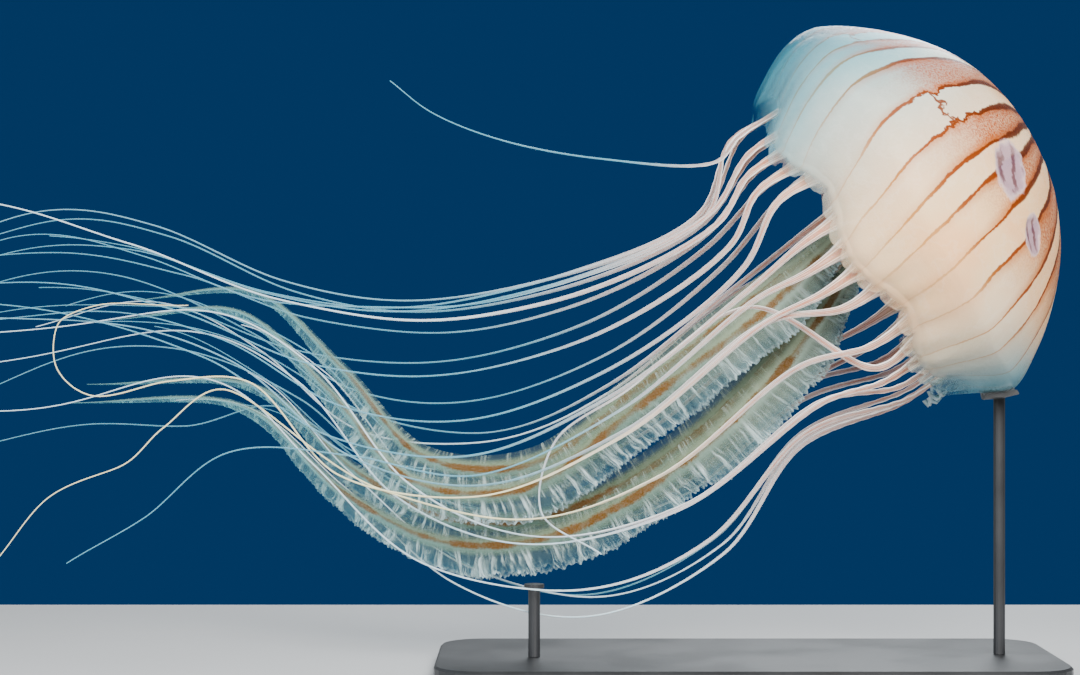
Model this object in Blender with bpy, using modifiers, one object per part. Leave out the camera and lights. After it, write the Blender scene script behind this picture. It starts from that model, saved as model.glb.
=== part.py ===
"""A life-size sea nettle jellyfish (Chrysaora), swimming, on a plain display stand.

Metres, +Z up. The origin is the centre of the stand base's underside. The animal's bell is at
+X and its tentacles and oral arms trail towards -X. Y is its width.

The bell is first a straight turned shape round its own axis, with the rim at height 0 and the
apex at BELL_HEIGHT. posed() then leans that shape into the swimming stroke. Each tentacle and
arm keeps a lane of its own across Y where they run together, so that none meets another.
"""

import math

import bmesh
import bpy
import numpy as np
from mathutils import Vector

GAP = 0.0003

# The bell, in its own straight frame.
BELL_HEIGHT = 0.142
BELL_RADIUS = 0.1352
RIM_RADIUS = 0.1190
WIDEST_SHARE = 0.27  # the height of the widest ring, as a share of BELL_HEIGHT
SHOULDER_POWER = 1.5
CROWN_POWER = 1.8
APEX_THICKNESS = 0.021
RIM_THICKNESS = 0.0038
OCTANTS = 8
RIM_STEPS = 40
CROWN_ENDS = 5  # the place in outer_profile() where the crown ends and the wall starts
LOBE_DEPTH = 0.0050  # how far each octant of the rim hangs below its neighbours' notches
LOBE_SHARE = 0.45

# The bell's lean: the axis curves, and each ring's plane turns a little less than the rim's.
RIM_CENTRE = (0.0765, 0.2880)
CROWN_HANDLE = (0.1490, 0.3480)
APEX = (0.2045, 0.3250)
RIM_LEAN = math.radians(34)
APEX_LEAN = math.radians(15)
TURN_TO_FRONT = math.radians(9)  # the whole bell turns its apex a little towards -Y

# Where the bell's top and bottom are fuller or flatter than a turned shape: how far, at which
# height, and over what height.
TOP_SWELLS = ((0.0085, 0.022, 0.024), (-0.0080, 0.085, 0.035))
BOTTOM_SWELLS = ((0.0055, 0.032, 0.028),)

# The margin's flaps, called lappets.
LAPPET_LENGTH = 0.0150
LAPPET_NOTCH = 0.42
LAPPET_THICKNESS = 0.0016
LAPPET_TURN = math.radians(52)

# The stalk of the mouth, called the manubrium, and the four oral arms.
MANUBRIUM_TOP = 0.033
MANUBRIUM_MOUTH = 0.019
MOUTH_HEIGHT = 0.040
ARM_ROOT = 0.0105
ARM_LENGTHS = ("upper", "middle", "lower")
ARM_STEPS = 8
ARM_LANE = 0.0150
ARM_CURTAIN = 0.0300
ARM_CREST = 0.0110
ARM_BODY = 0.0105
ARM_TIP = 0.0016
ARM_RUFFLE = 0.0022

# Routes of the arms' midribs, (x, z), from the mouth to the tip.
UPPER_ARM = (
    (0.012, 0.246),
    (-0.072, 0.182),
    (-0.150, 0.126),
    (-0.226, 0.130),
    (-0.283, 0.190),
    (-0.345, 0.243),
    (-0.430, 0.238),
)
LOWER_ARM = (
    (0.024, 0.206),
    (-0.040, 0.144),
    (-0.126, 0.094),
    (-0.205, 0.087),
    (-0.275, 0.120),
    (-0.345, 0.178),
    (-0.470, 0.180),
)
ARM_ROUTES = {
    "front_upper": (UPPER_ARM, 0.000),
    "front_lower": (LOWER_ARM, 0.000),
    "back_upper": (UPPER_ARM, 0.014),
    "back_lower": (LOWER_ARM, 0.012),
}

# Tentacles: four in each octant, between the lappets.
TENTACLES = 32
PER_OCTANT = TENTACLES // OCTANTS
TENTACLE_PITCH = math.radians(9)
ROOT_RADIUS = 0.1045
ROOT_HEIGHT = 0.0035
PAD_DEPTH = 0.0030
PAD_TOP = 0.0065
LANE = 0.0034
ROOT_WIDTH = 0.0054
ROOT_THICKNESS = 0.0024
THREAD_WIDTH = 0.0019
TIP_WIDTH = 0.0011
UPPER_LENGTH = 0.105
UPPER_STEPS = 4
LOWER_STEPS = 14
WAVE = 0.009  # how far a tentacle swings to each side of its guide near its tip
WAVE_LENGTH = 0.31
LANE_REACHED = 0.27  # how far along a tentacle has come into its lane
TAIL_START = -0.30  # the lanes spread past this X
TAIL_SPREAD = 0.40

# All that trails drifts this far towards +Y by its far end, and swings across on the way.
DRIFT = 0.045
DRIFT_START = 0.02
DRIFT_LENGTH = 0.62
SWING = 0.010
LEAVING = 0.034  # the straight start below the rim

# Guides that the tentacles' routes are mixed from, (x, z): from the top of the rim down to its
# bottom. Every guide sinks, gathers with the others near the third quarter, and spreads again.
GUIDES = (
    (
        (-0.031, 0.311),
        (-0.120, 0.272),
        (-0.225, 0.253),
        (-0.330, 0.262),
        (-0.426, 0.294),
        (-0.510, 0.302),
        (-0.640, 0.262),
    ),
    (
        (-0.018, 0.288),
        (-0.100, 0.235),
        (-0.200, 0.211),
        (-0.300, 0.217),
        (-0.390, 0.257),
        (-0.480, 0.283),
        (-0.650, 0.250),
    ),
    (
        (-0.004, 0.251),
        (-0.090, 0.182),
        (-0.180, 0.143),
        (-0.265, 0.155),
        (-0.340, 0.215),
        (-0.430, 0.247),
        (-0.640, 0.225),
    ),
    (
        (0.044, 0.183),
        (-0.050, 0.112),
        (-0.150, 0.090),
        (-0.240, 0.117),
        (-0.310, 0.190),
        (-0.390, 0.225),
        (-0.610, 0.185),
    ),
    (
        (0.037, 0.150),
        (-0.010, 0.078),
        (-0.095, 0.038),
        (-0.190, 0.057),
        (-0.270, 0.123),
        (-0.345, 0.190),
        (-0.560, 0.175),
    ),
)
# Which guide depth a tentacle follows, by how far down the rim it grows.
GUIDE_SHARES = ((0.0, 0.20, 0.35, 0.80, 1.0), (0.0, 0.08, 0.40, 0.76, 1.0))
LATE_STATION = 4  # from this station on, a special tail takes the guide's place

# Tentacles that leave the bunch: the number of each, and where its tail goes instead.
TAILS = {
    10: (
        (-0.331, 0.198),
        (-0.385, 0.201),
        (-0.437, 0.189),
        (-0.461, 0.206),
        (-0.462, 0.240),
        (-0.432, 0.255),
        (-0.372, 0.246),
    ),
    12: (
        (-0.352, 0.192),
        (-0.388, 0.162),
        (-0.412, 0.136),
        (-0.470, 0.117),
        (-0.520, 0.070),
    ),
    9: ((-0.345, 0.147), (-0.398, 0.104), (-0.450, 0.077)),
    22: ((-0.330, 0.180), (-0.400, 0.160), (-0.480, 0.152), (-0.590, 0.145)),
}
# The one that trails high and alone, and the one that turns back across the others.
LONE = 3
LONE_ROUTE = ((-0.022, 0.343), (-0.099, 0.344), (-0.165, 0.356), (-0.212, 0.375), (-0.240, 0.397))
TURNING = 13
TURNING_ROUTE = ((-0.004, 0.245), (-0.085, 0.190), (-0.132, 0.158), (-0.141, 0.110), (-0.100, 0.084))

# The display stand.
BASE_SIZE = (0.420, 0.160, 0.010)
BASE_CORNER = 0.030
BASE_EDGE = 0.0015
ROD_RADIUS = 0.004
CRADLE_HALF_TURN = math.radians(11)
CRADLE_HEIGHTS = (0.016, 0.027, 0.038)
CRADLE_GAP = 0.0012  # more than GAP, since the cradle is rounder than the bell's facets
CRADLE_THICKNESS = 0.0028
ARM_REST = (0.0068, 0.0026)  # radius and thickness of the disc under the arm

FLESH_COLOURS = {
    "bell": (0.86, 0.74, 0.66),
    "margin": (0.80, 0.78, 0.76),
    "arm": (0.72, 0.66, 0.52),
    "tentacle": (0.82, 0.74, 0.70),
}
STAND_COLOUR = (0.045, 0.047, 0.050)


# ---------------------------------------------------------------- helpers


def material(name, colour, roughness):
    """A Principled material, made once for each name."""
    found = bpy.data.materials.get(name)
    if found:
        return found
    made = bpy.data.materials.new(name)
    made.use_nodes = True
    shader = made.node_tree.nodes["Principled BSDF"]
    shader.inputs["Base Color"].default_value = (*colour, 1)
    shader.inputs["Roughness"].default_value = roughness
    return made


def flesh(kind):
    return material("flesh_" + kind, FLESH_COLOURS[kind], 0.35)


def collection(name):
    made = bpy.data.collections.new(name)
    bpy.context.scene.collection.children.link(made)
    return made


def mesh_object(name, points, faces, finish, where):
    """A named object from points and faces, with its faces turned outwards."""
    mesh = bpy.data.meshes.new(name)
    mesh.from_pydata([tuple(map(float, p)) for p in points], [], faces)
    turned = bmesh.new()
    turned.from_mesh(mesh)
    bmesh.ops.recalc_face_normals(turned, faces=turned.faces)
    turned.to_mesh(mesh)
    turned.free()
    mesh.shade_smooth()
    mesh.set_sharp_from_angle(angle=math.radians(50))
    made = bpy.data.objects.new(name, mesh)
    made.data.materials.append(finish)
    where.objects.link(made)
    return made


def fixed_mesh(source):
    """Replaces an object by one with its modifiers applied, and returns that one."""
    graph = bpy.context.evaluated_depsgraph_get()
    mesh = bpy.data.meshes.new_from_object(source.evaluated_get(graph))
    made = bpy.data.objects.new(source.name + "_fixed", mesh)
    made.matrix_world = source.matrix_world
    holder = source.users_collection[0]
    holder.objects.link(made)
    name = source.name
    bpy.data.objects.remove(source)
    made.name = name
    return made


def joined(first, others, cutters):
    """Unites the first object with the others by an exact Boolean, and hides the others."""
    for other in others:
        for holder in list(other.users_collection):
            holder.objects.unlink(other)
        cutters.objects.link(other)
        other.hide_render = True
        other.display_type = "WIRE"
    union = first.modifiers.new("union", "BOOLEAN")
    union.operation = "UNION"
    union.solver = "EXACT"
    union.operand_type = "COLLECTION"
    union.collection = cutters
    return first


def eased(share):
    """0 to 1 with a soft start and end."""
    share = np.clip(share, 0.0, 1.0)
    return share * share * (3.0 - 2.0 * share)


def chance(number, kind):
    """A steady value between 0 and 1 for one tentacle and one kind of variation."""
    return math.modf(abs(math.sin(12.9898 * number + 78.233 * kind)) * 4375.8545)[0]


def smooth_through(stations, count):
    """A smooth curve through the stations, as `count` points evenly spaced along it."""
    given = np.array(stations, float)
    strides = np.linalg.norm(np.diff(given, axis=0), axis=1)
    knots = np.concatenate([[0.0], np.cumsum(np.sqrt(strides))])
    slopes = np.gradient(given, knots, axis=0)
    along = np.linspace(0.0, knots[-1], 600)
    k = np.clip(np.searchsorted(knots, along, side="right") - 1, 0, len(given) - 2)
    width = (knots[k + 1] - knots[k])[:, None]
    s = (along - knots[k])[:, None] / width
    curve = (
        (2 * s**3 - 3 * s**2 + 1) * given[k]
        + (s**3 - 2 * s**2 + s) * width * slopes[k]
        + (3 * s**2 - 2 * s**3) * given[k + 1]
        + (s**3 - s**2) * width * slopes[k + 1]
    )
    return evenly(curve, count)


def evenly(curve, count):
    """The same curve as `count` evenly spaced points."""
    runs = np.linalg.norm(np.diff(curve, axis=0), axis=1)
    run = np.concatenate([[0.0], np.cumsum(runs)])
    at = np.linspace(0.0, run[-1], count)
    return np.stack([np.interp(at, run, curve[:, axis]) for axis in range(curve.shape[1])], 1)


def point_at(route, share):
    """The point at a share of the way along a route."""
    at = share * (len(route) - 1)
    return np.array([np.interp(at, np.arange(len(route)), column) for column in route.T])


def length_of(route):
    return float(np.linalg.norm(np.diff(route, axis=0), axis=1).sum())


def frames_along(route):
    """Unit vectors along the route, across it in the upright plane, and across it sideways."""
    ahead = np.gradient(route, axis=0)
    ahead /= np.linalg.norm(ahead, axis=1)[:, None]
    upright = np.cross(np.array([0.0, 1.0, 0.0]), ahead)
    upright /= np.linalg.norm(upright, axis=1)[:, None]
    return ahead, upright, np.cross(ahead, upright)


def loft_faces(rings, sides):
    """Faces of a closed loft: the walls between the rings, and a fan-free cap at each end."""
    faces = []
    for ring in range(rings - 1):
        for side in range(sides):
            nxt = (side + 1) % sides
            low, high = ring * sides, (ring + 1) * sides
            faces.append((low + side, low + nxt, high + nxt, high + side))
    faces.append(tuple(range(sides))[::-1])
    faces.append(tuple(range((rings - 1) * sides, rings * sides)))
    return faces


# ---------------------------------------------------------------- the bell


def bell_centre(height):
    """The centre of the bell's ring at a height of its straight frame, and its plane's lean."""
    share = height / BELL_HEIGHT
    lean = RIM_LEAN + (APEX_LEAN - RIM_LEAN) * max(share, 0.0)
    if share < 0.0:
        x = RIM_CENTRE[0] + height * math.cos(RIM_LEAN)
        z = RIM_CENTRE[1] + height * math.sin(RIM_LEAN)
        return x, z, lean
    weights = ((1 - share) ** 2, 2 * share * (1 - share), share**2)
    x = sum(w * p[0] for w, p in zip(weights, (RIM_CENTRE, CROWN_HANDLE, APEX)))
    z = sum(w * p[1] for w, p in zip(weights, (RIM_CENTRE, CROWN_HANDLE, APEX)))
    return x, z, lean


def swell(x, y, height):
    """How far a point of the straight bell moves out, where the bell is fuller or flatter."""
    swells = TOP_SWELLS if x > 0.0 else BOTTOM_SWELLS
    reach = sum(far * math.exp(-(((height - at) / over) ** 2)) for far, at, over in swells)
    return reach * x / BELL_RADIUS * x * x / (x * x + y * y)


def posed(x, y, height):
    """A point of the straight bell, moved to where the swimming bell has it."""
    if x or y:
        lobe = min(max(1.0 - height / (BELL_HEIGHT * LOBE_SHARE), 0.0), 1.0)
        height -= LOBE_DEPTH * math.cos(OCTANTS * math.atan2(y, x)) * lobe**2
        x += swell(x, y, height)
    centre_x, centre_z, lean = bell_centre(height)
    up = Vector((-math.sin(lean), 0.0, math.cos(lean)))
    axis = Vector((math.cos(lean), 0.0, math.sin(lean)))
    front = Vector((0.0, -math.cos(TURN_TO_FRONT), 0.0)) - axis * math.sin(TURN_TO_FRONT)
    centre = Vector((centre_x, -height * math.sin(TURN_TO_FRONT), centre_z))
    return centre + up * x + front * y


def outer_profile():
    """(radius, height) down the outside of the bell, from the apex to the rim."""
    widest = WIDEST_SHARE * BELL_HEIGHT
    points = []
    for degrees in (0, 11, 22, 33, 45, 57, 69, 80, 90):
        turn = math.radians(degrees)
        radius = BELL_RADIUS * math.sin(turn) ** (2 / CROWN_POWER)
        rise = max(math.cos(turn), 0.0) ** (2 / SHOULDER_POWER)
        points.append((radius, widest + (BELL_HEIGHT - widest) * rise))
    for share in (0.55, 0.0):
        tuck = (BELL_RADIUS - RIM_RADIUS) * (1 - share) ** 1.6
        points.append((BELL_RADIUS - tuck, widest * share))
    return points


def inner_profile(outer):
    """The hollow's side of the wall, from the rim up to its ceiling."""
    line = np.array(outer)
    slope = np.gradient(line, axis=0)
    inward = np.stack([slope[:, 1], -slope[:, 0]], 1)
    inward /= np.linalg.norm(inward, axis=1)[:, None]
    share = line[:, 1] / BELL_HEIGHT
    thick = RIM_THICKNESS + (APEX_THICKNESS - RIM_THICKNESS) * share**1.4
    inner = line + inward * thick[:, None]
    inner[0] = (0.0, line[0, 1] - APEX_THICKNESS)
    return [tuple(p) for p in inner[::-1]]


def turned_ring(name, profile, where):
    """A closed profile of (radius, height) points, turned round the bell's axis and posed."""
    mesh = bpy.data.meshes.new(name)
    edges = [(i, i + 1) for i in range(len(profile) - 1)]
    if min(profile)[0] > 0.0:
        edges.append((len(profile) - 1, 0))
    mesh.from_pydata([(r, 0.0, h) for r, h in profile], edges, [])
    turned = bpy.data.objects.new(name, mesh)
    where.objects.link(turned)
    screw = turned.modifiers.new("turn", "SCREW")
    screw.steps = RIM_STEPS
    screw.render_steps = RIM_STEPS
    screw.use_merge_vertices = True
    screw.merge_threshold = 0.00005
    made = fixed_mesh(turned)
    for vertex in made.data.vertices:
        vertex.co = posed(*vertex.co)
    normals = bmesh.new()
    normals.from_mesh(made.data)
    bmesh.ops.recalc_face_normals(normals, faces=normals.faces)
    normals.to_mesh(made.data)
    normals.free()
    made.data.shade_smooth()
    made.data.set_sharp_from_angle(angle=math.radians(60))
    made.data.materials.append(flesh("bell"))
    return made


def moved_on(line, place):
    """The line from `place` on, with its first point moved along by a gap."""
    step = line[place + 1] - line[place]
    start = line[place] + step * 1.2 * GAP / np.linalg.norm(step)
    return [tuple(start)] + [tuple(p) for p in line[place + 1 :]]


def make_bell(where):
    """The bell's thick crown, and the wall that hangs from it down to the rim."""
    outer = np.array(outer_profile())
    inner = np.array(inner_profile(outer_profile())[::-1])
    crown = [tuple(p) for p in outer[: CROWN_ENDS + 1]]
    crown += [tuple(p) for p in inner[CROWN_ENDS::-1]]
    turned_ring("bell_crown", crown, where)
    wall = moved_on(outer, CROWN_ENDS) + moved_on(inner, CROWN_ENDS)[::-1]
    turned_ring("bell_wall", wall, where)


def rim_point(step, radius, height):
    """A posed point at one of 2 x RIM_STEPS places round the rim. The places between the
    bell's own steps lie on the straight line between their neighbours."""
    if step % 2:
        return (rim_point(step - 1, radius, height) + rim_point(step + 1, radius, height)) / 2
    turn = math.pi * step / RIM_STEPS
    return posed(radius * math.cos(turn), radius * math.sin(turn), height)


def make_margin(where):
    """The thin edge of the bell, cut into forty lappets that turn inwards."""
    wall = outer_profile()[-2:]
    lean = math.atan2(wall[0][0] - wall[1][0], wall[0][1] - wall[1][1])
    middle = RIM_THICKNESS / 2
    start_radius = RIM_RADIUS - middle * math.cos(lean)
    start_height = middle * math.sin(lean) - GAP * 1.6
    points = []
    for step in range(2 * RIM_STEPS):
        length = LAPPET_LENGTH * (LAPPET_NOTCH if step % 2 else 1.0)
        for share in (0.0, 0.5, 1.0):
            run = length * share
            turn = lean + (LAPPET_TURN - lean) * share
            radius = start_radius - run * math.sin((lean + turn) / 2)
            height = start_height - run * math.cos((lean + turn) / 2)
            points.append(rim_point(step, radius, height))
    faces = []
    for step in range(2 * RIM_STEPS):
        here, there = 3 * step, 3 * ((step + 1) % (2 * RIM_STEPS))
        for row in range(2):
            faces.append((here + row, there + row, there + row + 1, here + row + 1))
    margin = mesh_object("bell_margin", points, faces, flesh("margin"), where)
    shell = margin.modifiers.new("thickness", "SOLIDIFY")
    shell.thickness = LAPPET_THICKNESS
    shell.offset = 0.0
    return margin


def make_manubrium(where):
    """The four-cornered stalk that hangs from the bell's ceiling and carries the mouth."""
    ceiling = [p for p in inner_profile(outer_profile()) if p[0] < MANUBRIUM_TOP][::-1]
    rings = [(r, h - 2 * GAP) for r, h in ceiling[1:]]
    top = rings[-1]
    for share in (0.25, 0.6, 1.0):
        radius = top[0] + (MANUBRIUM_MOUTH - top[0]) * share**0.6
        rings.append((radius, top[1] + (MOUTH_HEIGHT - top[1]) * share))
    sides = RIM_STEPS // 2
    points = [posed(0.0, 0.0, ceiling[0][1] - 2 * GAP)]
    for number, (radius, height) in enumerate(rings):
        fluting = 0.14 * eased((number - len(ceiling) + 2) / 2)
        for side in range(sides):
            turn = 2 * math.pi * side / sides
            reach = radius * (1.0 - fluting * math.cos(4 * turn))
            points.append(posed(reach * math.cos(turn), reach * math.sin(turn), height))
    faces = [(0, 1 + side, 1 + (side + 1) % sides) for side in range(sides)]
    for ring in range(len(rings) - 1):
        low, high = 1 + ring * sides, 1 + (ring + 1) * sides
        for side in range(sides):
            nxt = (side + 1) % sides
            faces.append((low + side, high + side, high + nxt, low + nxt))
    faces.append(tuple(range(len(points) - sides, len(points))))
    return mesh_object("manubrium", points, faces, flesh("arm"), where)


# ---------------------------------------------------------------- lanes


def root_turn(number):
    """How far round the rim a tentacle grows: 0 is the top, a quarter turn is the side at -Y."""
    octant, place = divmod(number, PER_OCTANT)
    middle = 2 * math.pi * octant / OCTANTS
    return middle + TENTACLE_PITCH * (place - (PER_OCTANT - 1) / 2)


def lanes():
    """The Y of each tentacle and of each arm where they all run together, in root order."""
    order = sorted(range(TENTACLES), key=lambda n: (-round(math.sin(root_turn(n)), 6), n))
    outside = (TENTACLES - 2 * 3) // 2
    tenants = order[:outside]
    for place, arm in enumerate(("front_upper", "front_lower", "back_upper", "back_lower")):
        tenants += [arm]
        if place < 3:
            tenants += order[outside + 2 * place : outside + 2 * place + 2]
    tenants += order[TENTACLES - outside :]
    widths = [ARM_LANE if isinstance(tenant, str) else LANE for tenant in tenants]
    across, found = -sum(widths) / 2, {}
    for tenant, width in zip(tenants, widths):
        found[tenant] = across + width / 2
        across += width
    return found


# ---------------------------------------------------------------- oral arms


def outwards(lean):
    """The way out of the bell, at a ring of this lean."""
    side = math.sin(TURN_TO_FRONT)
    level = math.cos(TURN_TO_FRONT)
    return Vector((-math.cos(lean) * level, side, -math.sin(lean) * level))


def drift(x):
    """How far the whole bunch has moved across at this X."""
    run = np.clip((DRIFT_START - x) / DRIFT_LENGTH, 0.0, 1.0)
    return DRIFT * eased(run) - SWING * np.sin(2 * math.pi * run) * eased(run / 0.3)


def arm_route(name, lane):
    """The midrib of one arm, from the mouth to its tip."""
    stations, drop = ARM_ROUTES[name]
    up = ARM_ROOT if "upper" in name else -ARM_ROOT
    side = ARM_ROOT if "front" in name else -ARM_ROOT
    root = posed(up, side, MOUTH_HEIGHT - 3 * GAP)
    ahead = outwards(bell_centre(MOUTH_HEIGHT)[2])
    starts = [root, root + 0.012 * ahead, root + 0.040 * ahead]
    line = [(p.x, p.z) for p in starts]
    line += [(x + drop * 0.4, z + drop) for x, z in stations]
    flat = smooth_through(line, 240)
    share = np.linspace(0.0, 1.0, len(flat))
    y = root.y + (lane - root.y) * eased((share - 0.02) / 0.14) + drift(flat[:, 0])
    return np.stack([flat[:, 0], y, flat[:, 1]], 1)


def arm_section(share, flip):
    """Six corners round the midrib, (up, sideways): a crest, and a curtain that hangs."""
    swell = eased((share - 0.05) / 0.15)
    thin = 1.0 - eased((share - 0.40) / 0.5)
    crest = 0.006 + (ARM_CREST - 0.006) * swell
    curtain = 0.007 + (ARM_CURTAIN - 0.007) * swell
    fade = 0.10 + 0.90 * thin
    crest, curtain = crest * fade, curtain * fade
    body = ARM_TIP + (ARM_BODY - ARM_TIP) * thin
    swing = ARM_RUFFLE * swell * flip * (0.3 + 0.7 * thin)
    hem = max(body * 0.30, 0.0008)
    return (
        (crest, -hem / 2),
        (crest, hem / 2),
        (0.0, body / 2),
        (-curtain, swing + hem),
        (-curtain * (1.0 - 0.06 * flip), swing - hem),
        (0.0, -body / 2),
    )


def make_arms(where, lane_of):
    steps = ARM_STEPS * len(ARM_LENGTHS)
    for name in ARM_ROUTES:
        route = arm_route(name, lane_of[name])
        for part, length_name in enumerate(ARM_LENGTHS):
            cuts = np.linspace(part / 3, (part + 1) / 3, ARM_STEPS + 1)
            rings = section_rings(route, cuts, steps, part > 0)
            faces = loft_faces(len(cuts), 6)
            node = f"oral_arm_{name}_{length_name}"
            mesh_object(node, rings, faces, flesh("arm"), where)


def section_rings(route, cuts, steps, gap_before):
    """Corner points of an arm's sections at the given shares of its length."""
    ahead, upright, sideways = frames_along(route)
    points = []
    for place, cut in enumerate(cuts):
        k = int(round(cut * (len(route) - 1)))
        centre = point_at(route, cut)
        if place == 0 and gap_before:
            centre = centre + ahead[k] * 2 * GAP
        flip = 1.0 if int(round(cut * steps)) % 2 else -1.0
        for up, side in arm_section(cut, flip):
            points.append(centre + upright[k] * up + sideways[k] * side)
    return points


# ---------------------------------------------------------------- tentacles


def guide_stations(depth):
    """The guides mixed at a depth between 0, the top of the rim, and 1, its bottom."""
    at = min(max(depth, 0.0), 1.0) * (len(GUIDES) - 1)
    k = min(int(at), len(GUIDES) - 2)
    low, high = np.array(GUIDES[k]), np.array(GUIDES[k + 1])
    return low + (high - low) * (at - k)


def tentacle_route(number, lane):
    """One tentacle's middle line, from inside its pad to its tip."""
    turn = root_turn(number)
    root = posed(ROOT_RADIUS * math.cos(turn), ROOT_RADIUS * math.sin(turn), ROOT_HEIGHT)
    leaving = root + LEAVING * outwards(RIM_LEAN)
    if number == LONE:
        stations = np.array(LONE_ROUTE)
    elif number == TURNING:
        stations = np.array(TURNING_ROUTE)
    else:
        way_down = 1.0 - abs(1.0 - (turn % (2 * math.pi)) / math.pi)
        depth = np.interp(way_down, *GUIDE_SHARES) + 0.05 * (chance(number, 1) - 0.5)
        stations = guide_stations(depth)
        shift = np.linspace(0.2, 1.0, len(stations)) ** 1.5
        stations[:, 1] += 0.070 * (chance(number, 2) - 0.5) * shift
        stations[:, 0] += 0.060 * (chance(number, 3) - 0.5) * shift
        if number in TAILS:
            stations = np.concatenate([stations[:LATE_STATION], np.array(TAILS[number])])
    line = [(root.x, root.z), (leaving.x, leaving.z)] + [tuple(p) for p in stations]
    flat = smooth_through(line, 400)
    if number not in TAILS and number not in (LONE, TURNING):
        kept = 1.0 - 0.30 * chance(number, 4) ** 2
        flat = evenly(flat[: int(len(flat) * kept)], 400)
    run = np.linspace(0.0, length_of(flat), len(flat))
    across = frames_along(with_y(flat, 0.0))[1]
    wave = np.sin(2 * math.pi * (run / (WAVE_LENGTH * (0.8 + 0.5 * chance(number, 5)))))
    reach = WAVE * (0.2 if number == LONE else 1.0)
    swing = reach * (0.35 * eased((run - 0.20) / 0.15) + 0.65 * eased((run - 0.45) / 0.25))
    flat = flat + across[:, [0, 2]] * (wave * swing)[:, None]
    y = root.y + (lane - root.y) * eased(run / LANE_REACHED)
    y = y * (1.0 + TAIL_SPREAD * eased((TAIL_START - flat[:, 0]) / 0.25))
    return with_y(flat, y + drift(flat[:, 0]))


def with_y(flat, y):
    return np.stack([flat[:, 0], np.broadcast_to(y, len(flat)), flat[:, 1]], 1)


def ribbon_size(share):
    """Width and thickness of a tentacle at a share of its length."""
    width = THREAD_WIDTH + (ROOT_WIDTH - THREAD_WIDTH) * (1.0 - eased(share / 0.55))
    width = width + (TIP_WIDTH - THREAD_WIDTH) * eased((share - 0.55) / 0.45)
    thick = THREAD_WIDTH + (ROOT_THICKNESS - THREAD_WIDTH) * (1.0 - eased(share / 0.4))
    return width, min(thick, width)


def ribbon(route, start, end, steps):
    """Points and faces of a four-cornered ribbon between two shares of a route."""
    _, upright, sideways = frames_along(route)
    points = []
    for share in np.linspace(start, end, steps + 1):
        k = int(round(share * (len(route) - 1)))
        centre = point_at(route, share)
        width, thick = ribbon_size(share)
        for up, side in ((width / 2, 0), (0, thick / 2), (-width / 2, 0), (0, -thick / 2)):
            points.append(centre + upright[k] * up + sideways[k] * side)
    return points, loft_faces(steps + 1, 4)


def make_pad(octant, where):
    """The thick strip inside the rim that one octant's four tentacles grow from."""
    wall = sorted((h, r) for r, h in inner_profile(outer_profile()) if r > RIM_RADIUS * 0.8)
    heights, radii = zip(*wall)
    points = []
    for place in range(-2, 3):
        step = 2 * (octant * RIM_STEPS // OCTANTS + place)
        for radius, height in (
            (ROOT_RADIUS - PAD_DEPTH, PAD_TOP),
            (np.interp(PAD_TOP, heights, radii) - 3.2 * GAP, PAD_TOP),
            (np.interp(heights[0], heights, radii) - 4.2 * GAP, heights[0]),
            (ROOT_RADIUS - PAD_DEPTH, heights[0] - 0.0010),
        ):
            points.append(rim_point(step, radius, height))
    return mesh_object(f"octant_{octant + 1}", points, loft_faces(5, 4), flesh("tentacle"), where)


def make_tentacles(where, cutters_home, lane_of):
    """Eight octants, each a pad with the upper lengths of its tentacles, then the lower lengths."""
    for octant in range(OCTANTS):
        pad = make_pad(octant, where)
        uppers = []
        for place in range(PER_OCTANT):
            number = octant * PER_OCTANT + place
            route = tentacle_route(number, lane_of[number])
            split = UPPER_LENGTH / length_of(route)
            points, faces = ribbon(route, 0.0, split, UPPER_STEPS)
            name = f"tentacle_{number + 1:02d}_upper"
            uppers.append(mesh_object(name, points, faces, flesh("tentacle"), where))
            start = split + 2 * GAP / length_of(route)
            steps = LOWER_STEPS + (8 if number in TAILS and len(TAILS[number]) > 5 else 0)
            points, faces = ribbon(route, start, 1.0, steps)
            mesh_object(f"tentacle_{number + 1:02d}", points, faces, flesh("tentacle"), where)
        home = bpy.data.collections.new(f"octant_{octant + 1}_upper_lengths")
        cutters_home.children.link(home)
        joined(pad, uppers, home)


# ---------------------------------------------------------------- stand


def metal():
    return material("stand_paint", STAND_COLOUR, 0.45)


def rod(name, x, y, low, high, where):
    bpy.ops.mesh.primitive_cylinder_add(
        vertices=16, radius=ROD_RADIUS, depth=high - low, location=(x, y, (low + high) / 2)
    )
    made = bpy.context.object
    made.name = name
    made.data.shade_smooth()
    made.data.set_sharp_from_angle(angle=math.radians(40))
    made.data.materials.append(metal())
    move_to(made, where)
    return made


def move_to(made, where):
    for holder in list(made.users_collection):
        holder.objects.unlink(made)
    where.objects.link(made)


def make_base(where):
    bpy.ops.mesh.primitive_cube_add(size=1, location=(0, 0, BASE_SIZE[2] / 2))
    base = bpy.context.object
    base.name = "stand_base"
    for vertex in base.data.vertices:
        vertex.co = [c * size for c, size in zip(vertex.co, BASE_SIZE)]
    corners = bmesh.new()
    corners.from_mesh(base.data)
    upright = [e for e in corners.edges if abs(e.verts[0].co.z - e.verts[1].co.z) > 1e-6]
    rounding = {"affect": "EDGES", "profile": 0.5}
    bmesh.ops.bevel(corners, geom=upright, offset=BASE_CORNER, segments=6, **rounding)
    corners.normal_update()
    top = max(corners.faces, key=lambda face: face.calc_center_median().z)
    bmesh.ops.bevel(corners, geom=top.edges[:], offset=BASE_EDGE, segments=1, **rounding)
    corners.to_mesh(base.data)
    corners.free()
    base.data.materials.append(metal())
    move_to(base, where)
    return base


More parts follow.
